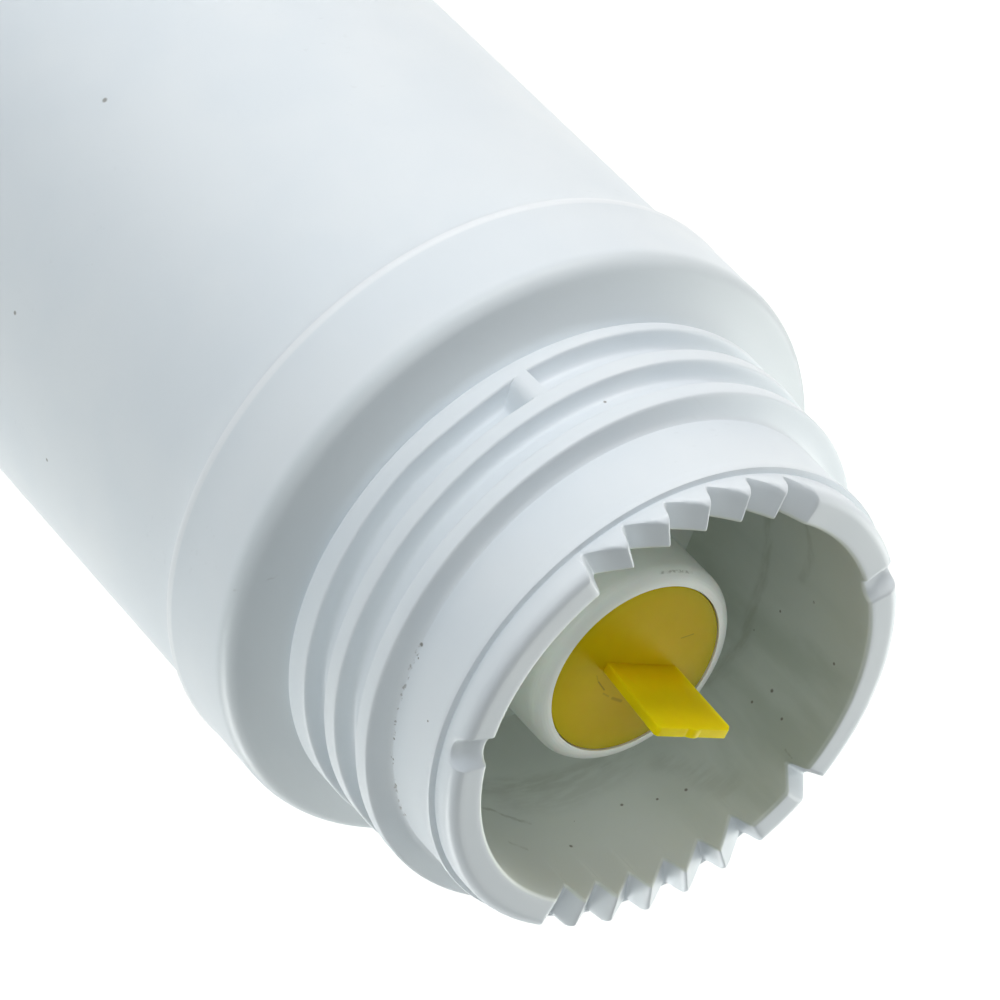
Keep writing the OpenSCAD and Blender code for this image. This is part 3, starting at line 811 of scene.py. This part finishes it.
def granules(name):
    """Group for a packed bed of grains: rounded heights and a tone for each grain"""
    tree, given, result = new_group(name, {"Position": None, "Cells": 1200.0}, ["Height", "Tone"])
    cells = put(tree, "ShaderNodeTexVoronoi", {"Vector": given["Position"],
                                               "Scale": given["Cells"]})
    dome = sums(tree, "SUBTRACT", 1.0, sums(tree, "POWER", cells.outputs["Distance"], 2.0))
    tree.links.new(dome, result["Height"])
    tone = put(tree, "ShaderNodeSeparateColor", {0: cells.outputs["Color"]}).outputs["Red"]
    tree.links.new(tone, result["Tone"])
    return tree


EFFECTS = {"Turned place": turned_place, "Moulded grain": moulded_grain, "Scuffs": scuffs,
           "Specks": specks, "Streak": streak, "Spot": spot, "Band": band, "Granules": granules}


def effect(tree, name, inputs):
    """Outputs of an effect's group, which is built the first time that it is asked for"""
    group = bpy.data.node_groups.get(name) or EFFECTS[name](name)
    return put(tree, "ShaderNodeGroup", inputs, node_tree=group).outputs


def banded(tree, value, centre, half_width, soft):
    """Mask of a soft band around one value"""
    return effect(tree, "Band", {"Value": value, "Centre": centre, "Half width": half_width,
                                 "Soft": soft})["Mask"]


def streaked(tree, position, start, end, width):
    """Mask of a soft mark between two points. Its width is in millimetres"""
    return effect(tree, "Streak", {"Position": position, "Start": start, "End": end,
                                   "Width": width * MM})["Mask"]


# ---- Materials ---------------------------------------------------------------------------------

def new_material(name, **fixed):
    """Material with a Principled shader, whose plain values are set on its own sockets"""
    material = bpy.data.materials.new(name)
    material.use_nodes = True
    tree = material.node_tree
    shader = tree.nodes["Principled BSDF"]
    for key, value in fixed.items():
        shader.inputs[key.replace("_", " ")].default_value = value
    position = tree.nodes.new("ShaderNodeTexCoord").outputs["Object"]
    return material, tree, shader, position


def surface(tree, shader, base, rough=None, bump=None):
    """Feeds the shader its colour and roughness, and a bump of a height, strength and distance"""
    tree.links.new(base, shader.inputs["Base Color"])
    if rough:
        tree.links.new(rough, shader.inputs["Roughness"])
    if bump:
        height, strength, distance = bump
        node = put(tree, "ShaderNodeBump", {"Height": height, "Strength": strength,
                                            "Distance": distance})
        tree.links.new(node.outputs[0], shader.inputs["Normal"])


def toned(rgb, *shares):
    """Colour scaled by one share, or by one for each channel"""
    return tuple(c * share for c, share in zip(rgb, shares * (3 // len(shares))))


def on_wall(radius, angle, depth):
    """Point on a round wall at an angle in degrees and a depth in millimetres below the rim"""
    return Vector(at(angle * DEG, radius, RIM_Z - depth * MM))


def white_plastic(name, finish, marks):
    """Satin white polypropylene with a faint grain, scuffs and specks, and the piece's own marks"""
    material, tree, shader, position = new_material(
        name, Roughness=0.4, IOR=1.49, Subsurface_Weight=0.12, Subsurface_Scale=1.5 * MM,
        Subsurface_Radius=(1.0, 1.0, 1.0))
    grain = effect(tree, "Moulded grain", {"Position": position})
    rubbed = effect(tree, "Scuffs", {"Position": position, "Amount": 0.5 * finish.wear})["Mask"]
    dots = effect(tree, "Specks", {"Position": position, "Amount": 0.10 * finish.wear})["Mask"]
    base = blend(tree, grain["Tone"], finish.white, toned(finish.white, 0.965, 0.975, 0.985))
    base = blend(tree, product(tree, rubbed, 0.1), base, finish.dirt)
    # On the head these marks bring painted shade and a painted highlight as well as dirt
    base, stained = marks(tree, base, position)
    base = blend(tree, most(tree, dots, stained), base, finish.dirt)
    rough = sums(tree, "MULTIPLY_ADD", grain["Tone"], 0.05, 0.38)
    surface(tree, shader, base, sums(tree, "MULTIPLY_ADD", rubbed, 0.2, rough),
            (grain["Height"], 0.25, 0.12 * MM))
    return material


# Tide marks in the bore: corners in degrees and millimetres below the rim, width in millimetres
# and strength
BORE_MARKS = (
    (((154, 22.7), (135, 22.1), (120, 21.3), (115, 20.1), (103, 21.0), (94, 22.5)), 1.5, 0.36),
    (((24, 25.0), (43, 23.8), (52, 23.0), (66, 22.4)), 3.2, 0.30),
    (((36, 21.0), (55, 20.0), (70, 20.5)), 4.0, 0.18),
    (((24, 20.2), (27, 19.6), (30, 18.2), (36, 16.6)), 0.5, 0.50),
    (((78, 17.0), (82, 12.1), (86, 7.7)), 3.0, 0.22),
    (((166, 13.6), (152, 12.9), (143, 14.5)), 1.2, 0.28),
    (((23, 12.3), (27, 11.1)), 0.5, 0.35),
    (((103.3, 4.9), (102.6, 3.0)), 0.2, 0.5),
)
# Specks: angle in degrees, then depth below the rim and size in millimetres, for each radius
HEAD_SPOTS = {
    29.5: ((129.5, 16.9, 0.26), (111.4, 12.0, 0.36), (108.0, 8.1, 0.30), (105.5, 13.6, 0.28),
           (129.8, 4.9, 0.30), (77.6, 11.1, 0.32), (70.4, 12.5, 0.26), (62.2, 14.6, 0.30),
           (41.6, 10.9, 0.35)),
    34.8: ((298.8, 12.9, 0.36), (301.6, 12.4, 0.18), (322.3, 12.4, 0.24), (327.9, 12.3, 0.22),
           (335.3, 12.1, 0.32), (344.6, 11.7, 0.30), (310.8, 6.9, 0.20), (311.4, 3.5, 0.50)),
    36.9: ((355.9, 12.0, 0.26),),
    36.6: ((1.0, 11.9, 0.22),),
    37.7: ((12.1, 11.9, 0.28),),
    36.0: ((235.5, 21.0, 0.32),),
}
BODY_SPOTS = {43.9: ((306.7, 95.9, 0.40), (326.7, 83.3, 0.35), (267.8, 104.0, 0.5))}
# Painted shade on one side of the bore, a grey-green sheet: its middle angle, half width and soft
# edge
BORE_SHADE = (109 * DEG, 14 * DEG, 34 * DEG)
# Painted shade on the shoulder and painted highlight along the weld: half width and soft edge
SHOULDER_SHADE_BAND, WELD_HIGHLIGHT = (1.6 * MM, 2.0 * MM), (0.35 * MM, 0.45 * MM)
# Faint scratch from the collar up the shoulder: angle, depth and radius of its ends
SHOULDER_SCRATCH = ((310.5, 36.5, 45.2), (303.0, 32.4, 39.5))
# Angles between which dirt has gathered along the foot of the skirt
SKIRT_GRIME = (297, 348)


def spots(tree, position, table):
    """Mask of the specks in a table"""
    return most(tree, *[effect(tree, "Spot", {
        "Position": position, "Centre": on_wall(radius * MM, angle, depth),
        "Size": size * MM})["Mask"] for radius, row in table.items() for angle, depth, size in row])


def body_marks(tree, base, position):
    """Specks on the bottle"""
    return base, product(tree, spots(tree, position, BODY_SPOTS), 0.7)


def head_tones(tree, base, position, place, inside, sizes, finish):
    """Grey-green tone and painted shade of the bore, painted shade on the shoulder, and the
    painted highlight along the weld
    """
    cloud = step(tree, noise(tree, position, 90.0, 3.0), 0.35, 0.7, 0.8, 1.0)
    base = blend(tree, product(tree, inside, cloud), base, finish.bore)
    upright = mapped(tree, position, scale=(1.0, 1.0, 0.3))
    uneven = step(tree, noise(tree, upright, 160.0, 4.0), 0.3, 0.7, 0.35, 0.75)
    # Painted shade: a grey-green sheet darkens one side of the bore
    shade_film = product(tree, banded(tree, place["Angle"], *BORE_SHADE), inside, uneven)
    base = blend(tree, shade_film, base, finish.shade_film)
    outside = step(tree, place["Radius"], sizes.foot_d / 2, sizes.foot_d / 2 + MM)
    shoulder_z = RIM_Z - sizes.neck_h - sizes.shoulder_h / 2
    # Painted shade: a grey band darkens the shoulder
    shoulder_shaded = banded(tree, place["Height"], shoulder_z, *SHOULDER_SHADE_BAND)
    base = blend(tree, product(tree, shoulder_shaded, outside, 0.55), base, finish.shoulder_shade)
    # Painted highlight: a paler line along the weld bead
    weld_highlight_mask = banded(tree, place["Height"], SEAM_Z, *WELD_HIGHLIGHT)
    return blend(tree, product(tree, weld_highlight_mask, outside), base, finish.weld)


def tide_marks(tree, position, wander, bore_r):
    """Mask of the broken tide marks in the bore"""
    masks = [product(tree, streaked(tree, wander, on_wall(bore_r, *first), on_wall(bore_r, *last),
                                    width), strength)
             for corners, width, strength in BORE_MARKS
             for first, last in zip(corners, corners[1:])]
    feathered = mapped(tree, position, scale=(1.0, 1.0, 4.0))
    broken = step(tree, noise(tree, feathered, 260.0, 5.0), 0.32, 0.62, 0.2, 1.0)
    return product(tree, most(tree, *masks), broken)


def thread_grime(tree, position, place, sizes):
    """Mask of the dotted line of dirt in the corner of the skirt and the thread"""
    # The groove's upper edge climbs with the thread, and atan2 gives angles from -180 to 180
    climb = sizes.pitch / FULL_TURN
    edge_z = (RIM_Z - sizes.neck_h + sizes.flange_gap
              + climb * (3 * FULL_TURN - sizes.thread_start))
    risen = sums(tree, "MULTIPLY_ADD", place["Angle"], climb, edge_z)
    line = banded(tree, sums(tree, "SUBTRACT", place["Height"], risen), 0.05 * MM, 0.12 * MM,
                  0.25 * MM)
    first, last = SKIRT_GRIME
    reach = banded(tree, place["Angle"], ((first + last) / 2 - 360) * DEG,
                   (last - first) * 0.4 * DEG, (last - first) * 0.1 * DEG)
    dotted = step(tree, noise(tree, position, 1300.0, 2.0), 0.56, 0.66)
    skirt_r = sizes.skirt_d / 2
    near = step(tree, place["Radius"], skirt_r + 0.3 * MM, skirt_r + 0.8 * MM, 1.0, 0.0)
    return product(tree, line, reach, dotted, near)


def head_marks(sizes, finish):
    """Tones, painted shade and highlight, tide marks, specks and dirt of the head"""
    def marks(tree, base, position):
        place = effect(tree, "Turned place", {"Position": position})
        bore_r = sizes.bore_d / 2
        inside = step(tree, place["Radius"], bore_r + 0.2 * MM, bore_r + 0.7 * MM, 1.0, 0.0)
        base = head_tones(tree, base, position, place, inside, sizes, finish)
        wavy = noise(tree, position, 170.0, 4.0, 0.6)
        sway = put(tree, "ShaderNodeCombineXYZ", {
            0: sums(tree, "MULTIPLY_ADD", wavy, 2.4 * MM, -1.2 * MM),
            2: sums(tree, "MULTIPLY_ADD", wavy, 3.0 * MM, -1.5 * MM)}).outputs[0]
        wander = vectors(tree, "ADD", position, sway)
        tide = product(tree, tide_marks(tree, position, wander, bore_r), finish.wear, inside)
        base = blend(tree, tide, base, finish.stain)
        dusty = effect(tree, "Specks", {"Position": position, "Cells": 260.0, "Size": 0.06,
                                        "Amount": 0.2})["Mask"]
        ends = [on_wall(radius * MM, angle, depth) for angle, depth, radius in SHOULDER_SCRATCH]
        dark = most(tree, product(tree, dusty, inside, 0.5),
                    product(tree, thread_grime(tree, position, place, sizes), 0.6),
                    spots(tree, position, HEAD_SPOTS),
                    product(tree, streaked(tree, wander, *ends, 0.3), 0.18))
        return base, product(tree, dark, finish.wear)
    return marks


# Smudge round the hub below its face: angles in degrees, radius and depth in millimetres
HUB_SMUDGE = ((223, 202), 14.65, 10.6)


def natural_plastic(finish):
    """Satin natural polypropylene of the hub and the inner pieces, with the smudge on the hub"""
    material, tree, shader, position = new_material(
        "Natural polypropylene", Roughness=0.42, IOR=1.49, Subsurface_Weight=0.15,
        Subsurface_Scale=1.5 * MM)
    grain = effect(tree, "Moulded grain", {"Position": position, "Ripple": 110.0})
    rubbed = effect(tree, "Scuffs", {"Position": position, "Size": 1300.0,
                                     "Amount": 0.5 * finish.wear})["Mask"]
    dots = effect(tree, "Specks", {"Position": position, "Cells": 220.0, "Size": 0.06,
                                   "Amount": 0.15 * finish.wear})["Mask"]
    base = blend(tree, grain["Tone"], finish.natural, toned(finish.natural, 0.94))
    (first, last), radius, depth = HUB_SMUDGE
    middle = on_wall(radius * MM, (first + last) / 2, depth)
    halves = [streaked(tree, position, on_wall(radius * MM, end, depth), middle, 0.3)
              for end in (first, last)]
    dashed = step(tree, noise(tree, position, 2400.0, 4.0), 0.45, 0.65, 0.08, 0.6)
    smudge = product(tree, most(tree, *halves), dashed, finish.wear)
    base = blend(tree, most(tree, product(tree, rubbed, 0.2), dots, smudge), base, finish.dirt)
    surface(tree, shader, base, sums(tree, "MULTIPLY_ADD", grain["Tone"], 0.06, 0.39),
            (grain["Height"], 0.25, 0.1 * MM))
    return material


# Hairlines and dirt on the plug's disc: ends in millimetres from the axis, width and strength
DISC_MARKS = (((-6.9, 2.2), (-8.4, 3.4), 0.14, 0.6), ((4.5, -3.4), (4.7, -1.3), 0.16, 0.8),
              ((5.1, -0.9), (4.9, 0.3), 0.2, 0.4), ((4.7, 1.2), (4.2, 2.9), 0.35, 0.5),
              ((4.1, -4.6), (4.5, -3.5), 0.12, 0.4))


def yellow_plastic(finish, sizes):
    """Semi-gloss yellow plastic that lets light through, with painted shade that deepens it towards
    the disc
    """
    material, tree, shader, position = new_material(
        "Plug yellow", Roughness=0.36, IOR=1.45, Specular_IOR_Level=0.05, Subsurface_Weight=0.8,
        Subsurface_Scale=6.0 * MM, Subsurface_Radius=(1.0, 0.7, 0.1))
    place = effect(tree, "Turned place", {"Position": position})
    grain = effect(tree, "Moulded grain", {"Position": position, "Grain": 3200.0, "Ripple": 170.0})
    rubbed = effect(tree, "Scuffs", {"Position": position, "Size": 1500.0,
                                     "Amount": 0.4 * finish.wear})["Mask"]
    mottle = step(tree, noise(tree, position, 300.0, 4.0, 0.65), 0.3, 0.7)
    disc_z = HUB_Z - sizes.sink
    # Painted shade: deeper yellow on the disc, fading over the tab's first 5 mm
    low = step(tree, place["Height"], disc_z + 0.2 * MM, disc_z + 5 * MM, 0.85, 0.0)
    mottle_and_shade = sums(tree, "MULTIPLY_ADD", mottle, 0.06, low, clamp=True)
    base = blend(tree, mottle_and_shade, finish.yellow, finish.shaded_yellow)
    lines = [product(tree, streaked(tree, position, *[Vector((x * MM, y * MM, disc_z))
                                                      for x, y in ends], width), strength)
             for *ends, width, strength in DISC_MARKS]
    dirty = product(tree, most(tree, *lines), finish.wear)
    base = blend(tree, most(tree, product(tree, rubbed, 0.2), dirty), base,
                 toned(finish.shaded_yellow, 0.3))
    surface(tree, shader, base, sums(tree, "MULTIPLY_ADD", mottle, 0.1, 0.32),
            (grain["Height"], 0.35, 0.12 * MM))
    return material


def seal_rubber(finish):
    """Matt black rubber with a faint bloom"""
    material, tree, shader, position = new_material("Seal rubber", Roughness=0.6)
    bloom = step(tree, noise(tree, position, 500.0, 4.0), 0.35, 0.75)
    base = blend(tree, bloom, finish.rubber, toned(finish.rubber, 2.2))
    surface(tree, shader, base, sums(tree, "MULTIPLY_ADD", bloom, 0.15, 0.52),
            (noise(tree, position, 2600.0, 2.0), 0.3, 0.05 * MM))
    return material


def fleece_pad(finish):
    """Needled polyester fleece: tangled fibres over loose tufts"""
    material, tree, shader, position = new_material("Fleece", Roughness=0.9, Sheen_Weight=0.3)
    fibres = []
    for lean in (0.4, 1.3, 2.2):
        along = mapped(tree, position, rotation=(lean, lean, -lean), scale=(1.0, 0.08, 1.0))
        fibres.append(step(tree, noise(tree, along, 2600.0, 2.0), 0.45, 0.62))
    strands = most(tree, *fibres)
    tufts = noise(tree, position, 380.0, 3.0)
    surface(tree, shader, blend(tree, strands, toned(finish.fleece, 0.72), finish.fleece),
            bump=(sums(tree, "ADD", strands, tufts), 0.7, 0.3 * MM))
    return material


def packed_bed(name, tone, cells, roughness, spread):
    """Packed grains of one kind, each with a tone of its own"""
    material, tree, shader, position = new_material(name, Roughness=roughness)
    bed = effect(tree, "Granules", {"Position": position, "Cells": cells})
    base = blend(tree, bed["Tone"], toned(tone, 1 - spread), toned(tone, 1 + spread))
    surface(tree, shader, base, bump=(bed["Height"], 1.0, 0.4 * MM))
    return material


# ---- Stage -------------------------------------------------------------------------------------

# Light that the floor adds for the rays that see it
FLOOR_LIFT = 0.5
# Colour of the even light
SKY_TINT = (0.93, 0.985, 1.0)
# Lamps: azimuth and elevation, distance, width and height of the panel, power in watts and colour
LAMPS = (
    ("Back", 110, 20, 1.5, 1.2, 1.2, 17.3, (0.96, 1.0, 0.96)),
    ("Right", 20, -4, 1.2, 1.0, 0.34, 8.5, (0.97, 1.0, 0.99)),
    ("Left", 213, -4, 1.2, 1.0, 0.34, 5.0, (1.0, 0.96, 0.9)),
    ("Front", 250, -4, 1.2, 1.0, 0.34, 3.1, (0.8, 0.88, 1.0)),
    ("Side", 180, 8, 1.5, 1.2, 1.2, 2.7, (1.0, 0.93, 0.95)),
    ("Upper front", 270, 40, 1.5, 1.2, 1.2, 5.5, (0.97, 1.0, 0.95)),
    ("Upper left", 225, 45, 1.5, 1.0, 1.0, 2.4, (0.88, 0.92, 1.0)),
    ("Low front", 290, -4, 1.2, 1.0, 0.34, 0.8, (0.85, 0.95, 1.0)),
    ("Upper back", 33, 34, 1.5, 1.0, 1.0, 1.0, (0.9, 1.0, 0.98)),
)
# Height on the axis that the lamps face
LAMP_TARGET_Z = 0.27
WHITE = (1.0, 1.0, 1.0, 1.0)


def seen_rays(tree):
    """1 for rays that see the background straight, in a gloss or through the object, else 0"""
    rays = tree.nodes.new("ShaderNodeLightPath").outputs
    return most(tree, *[rays[f"Is {kind} Ray"] for kind in ("Camera", "Glossy", "Transmission")])


def floor_material(stage):
    """Pale matt floor that looks white to the camera and still takes the object's shadow"""
    material, tree, shader, position = new_material(
        "Floor", Roughness=0.85, Specular_IOR_Level=0.1, Emission_Color=WHITE)
    fine = noise(tree, position, 900.0, 2.0)
    surface(tree, shader, blend(tree, fine, stage.pale, toned(stage.pale, 0.985)))
    tree.links.new(product(tree, seen_rays(tree), FLOOR_LIFT), shader.inputs["Emission Strength"])
    return material


def add_floor(stage):
    """Square floor under the cartridge"""
    half = stage.floor / 2
    mesh = bpy.data.meshes.new("floor")
    mesh.from_pydata([(-half, -half, 0), (half, -half, 0), (half, half, 0), (-half, half, 0)],
                     [], [(0, 1, 2, 3)])
    mesh.materials.append(floor_material(stage))
    new_object("floor", mesh)


def add_lamp(name, azimuth, elevation, distance, width, height, power, tint):
    """Soft lamp panel that faces the neck"""
    light = bpy.data.lights.new(name, "AREA")
    light.shape = "RECTANGLE"
    light.size, light.size_y = width, height
    light.energy, light.color = power, tint
    lamp = new_object(name, light)
    flat = distance * math.cos(elevation * DEG)
    target = Vector((0.0, 0.0, LAMP_TARGET_Z))
    lamp.location = target + Vector(at(azimuth * DEG, flat, distance * math.sin(elevation * DEG)))
    lamp.rotation_euler = (target - lamp.location).to_track_quat("-Z", "Y").to_euler()


def add_sky(strength):
    """Even light from all round, which looks white to the camera"""
    world = bpy.data.worlds.new("Studio")
    world.use_nodes = True
    tree = world.node_tree
    back = tree.nodes["Background"]
    back.inputs["Color"].default_value = (*SKY_TINT, 1.0)
    back.inputs["Strength"].default_value = strength
    white = put(tree, "ShaderNodeBackground", {"Color": WHITE, "Strength": 1.0})
    mix = put(tree, "ShaderNodeMixShader", {0: seen_rays(tree), 1: back.outputs[0],
                                            2: white.outputs[0]})
    tree.links.new(mix.outputs[0], tree.nodes["World Output"].inputs["Surface"])
    bpy.context.scene.world = world


def add_camera(stage):
    """Camera at the photograph's viewing angle"""
    data = bpy.data.cameras.new("Camera")
    data.sensor_width = 36.0
    data.lens = stage.lens
    data.clip_start, data.clip_end = 0.05, 50.0
    camera = new_object("Camera", data)
    camera.matrix_world = (Matrix.Translation(stage.eye) @ Matrix.Rotation(stage.tilt, 4, "X")
                           @ Matrix.Rotation(stage.roll, 4, "Z"))
    bpy.context.scene.camera = camera


# ---- Operators ---------------------------------------------------------------------------------

class CARTRIDGE_OT_bottle(bpy.types.Operator):
    """Build the bottle with its foot, flare and weld bead"""
    bl_idname = "cartridge.bottle"
    bl_label = "Bottle"

    def execute(self, context):
        settings = context.scene.cartridge
        bottle = turned("bottle", bottle_profile(settings.bottle), 288)
        white = white_plastic("Bottle white", settings.finish, body_marks)
        dress(bottle, "cartridge", "bottle_white", white, "body_shell")
        return {"FINISHED"}


class CARTRIDGE_OT_head(bpy.types.Operator):
    """Build the head with its shoulder, helical thread, recess and ratchet rim"""
    bl_idname = "cartridge.head"
    bl_label = "Threaded head"

    def execute(self, context):
        settings = context.scene.cartridge
        shape = HeadShape(settings.bottle, settings.head, settings.rim)
        head = skin("threaded_head", [shape.column(angle) for angle in shape.angles()])
        marks = head_marks(settings.head, settings.finish)
        white = white_plastic("Head white", settings.finish, marks)
        dress(head, "cartridge", "head_white", white, "neck_head")
        return {"FINISHED"}


class CARTRIDGE_OT_plug(bpy.types.Operator):
    """Build the yellow transport plug with its disc, stem and pull tab"""
    bl_idname = "cartridge.plug"
    bl_label = "Transport plug"

    def execute(self, context):
        settings = context.scene.cartridge
        plug = turned("transport_plug_fine", plug_profile(settings.plug), 192)
        join_solids(plug, pull_tab(settings.plug), "Pull tab")
        yellow = yellow_plastic(settings.finish, settings.plug)
        dress(plug, "plug", "plug_yellow", yellow, "transport_plug")
        return {"FINISHED"}


class CARTRIDGE_OT_connector(bpy.types.Operator):
    """Finish the hub with its recess floor, and the pieces that carry the water"""
    bl_idname = "cartridge.connector"
    bl_label = "Connector and water way"

    def execute(self, context):
        natural = natural_plastic(context.scene.cartridge.finish)
        for node in ("connector_insert", "riser_tube", "top_strainer", "bottom_strainer"):
            repaint(node, natural)
        return {"FINISHED"}


class CARTRIDGE_OT_seals(bpy.types.Operator):
    """Finish the three seals"""
    bl_idname = "cartridge.seals"
    bl_label = "Seals"

    def execute(self, context):
        rubber = seal_rubber(context.scene.cartridge.finish)
        for node in ("insert_seal", "hub_seal", "riser_seal"):
            repaint(node, rubber)
        return {"FINISHED"}


class CARTRIDGE_OT_filling(bpy.types.Operator):
    """Finish the filter beds and the fleece pads between them"""
    bl_idname = "cartridge.filling"
    bl_label = "Filter filling"

    def execute(self, context):
        finish = context.scene.cartridge.finish
        fleece = fleece_pad(finish)
        for node in ("top_fleece", "middle_fleece", "bottom_fleece"):
            repaint(node, fleece)
        repaint("carbon_bed", packed_bed("Activated carbon", finish.carbon, 900.0, 0.75, 0.5))
        repaint("resin_bed", packed_bed("Ion exchange beads", finish.resin, 1500.0, 0.35, 0.25))
        return {"FINISHED"}


class CARTRIDGE_OT_stage(bpy.types.Operator):
    """Set up the floor, the sky, the lamps and the camera"""
    bl_idname = "cartridge.stage"
    bl_label = "Stage"

    def execute(self, context):
        stage = context.scene.cartridge.stage
        add_floor(stage)
        add_sky(stage.sky)
        for lamp in LAMPS:
            add_lamp(*lamp)
        add_camera(stage)
        context.scene.view_settings.view_transform = "Standard"
        return {"FINISHED"}


PIECES = (CARTRIDGE_OT_bottle, CARTRIDGE_OT_head, CARTRIDGE_OT_plug, CARTRIDGE_OT_connector,
          CARTRIDGE_OT_seals, CARTRIDGE_OT_filling, CARTRIDGE_OT_stage)


class CARTRIDGE_PT_panel(bpy.types.Panel):
    """Panel that lists the pieces and their settings"""
    bl_idname = "CARTRIDGE_PT_panel"
    bl_label = "Water Filter Cartridge"
    bl_space_type = "VIEW_3D"
    bl_region_type = "UI"
    bl_category = "Cartridge"

    def draw(self, context):
        for piece in PIECES:
            self.layout.operator(piece.bl_idname)
        settings = context.scene.cartridge
        for group in (settings.bottle, settings.head, settings.rim, settings.plug,
                      settings.finish, settings.stage):
            box = self.layout.box()
            for name in group.__annotations__:
                box.prop(group, name)


CLASSES = (BottleSizes, HeadSizes, RimSizes, PlugSizes, Finishes, StageSizes, CartridgeSettings,
           *PIECES, CARTRIDGE_PT_panel)


def register():
    """Registers the settings, operators and panel"""
    for item in CLASSES:
        bpy.utils.register_class(item)
    bpy.types.Scene.cartridge = PointerProperty(type=CartridgeSettings)


def unregister():
    """Takes out the panel, the operators and the settings"""
    del bpy.types.Scene.cartridge
    for item in reversed(CLASSES):
        bpy.utils.unregister_class(item)


def main():
    """Builds every piece in order"""
    register()
    for piece in PIECES:
        group, name = piece.bl_idname.split(".")
        getattr(getattr(bpy.ops, group), name)()


if __name__ == "__main__":
    main()
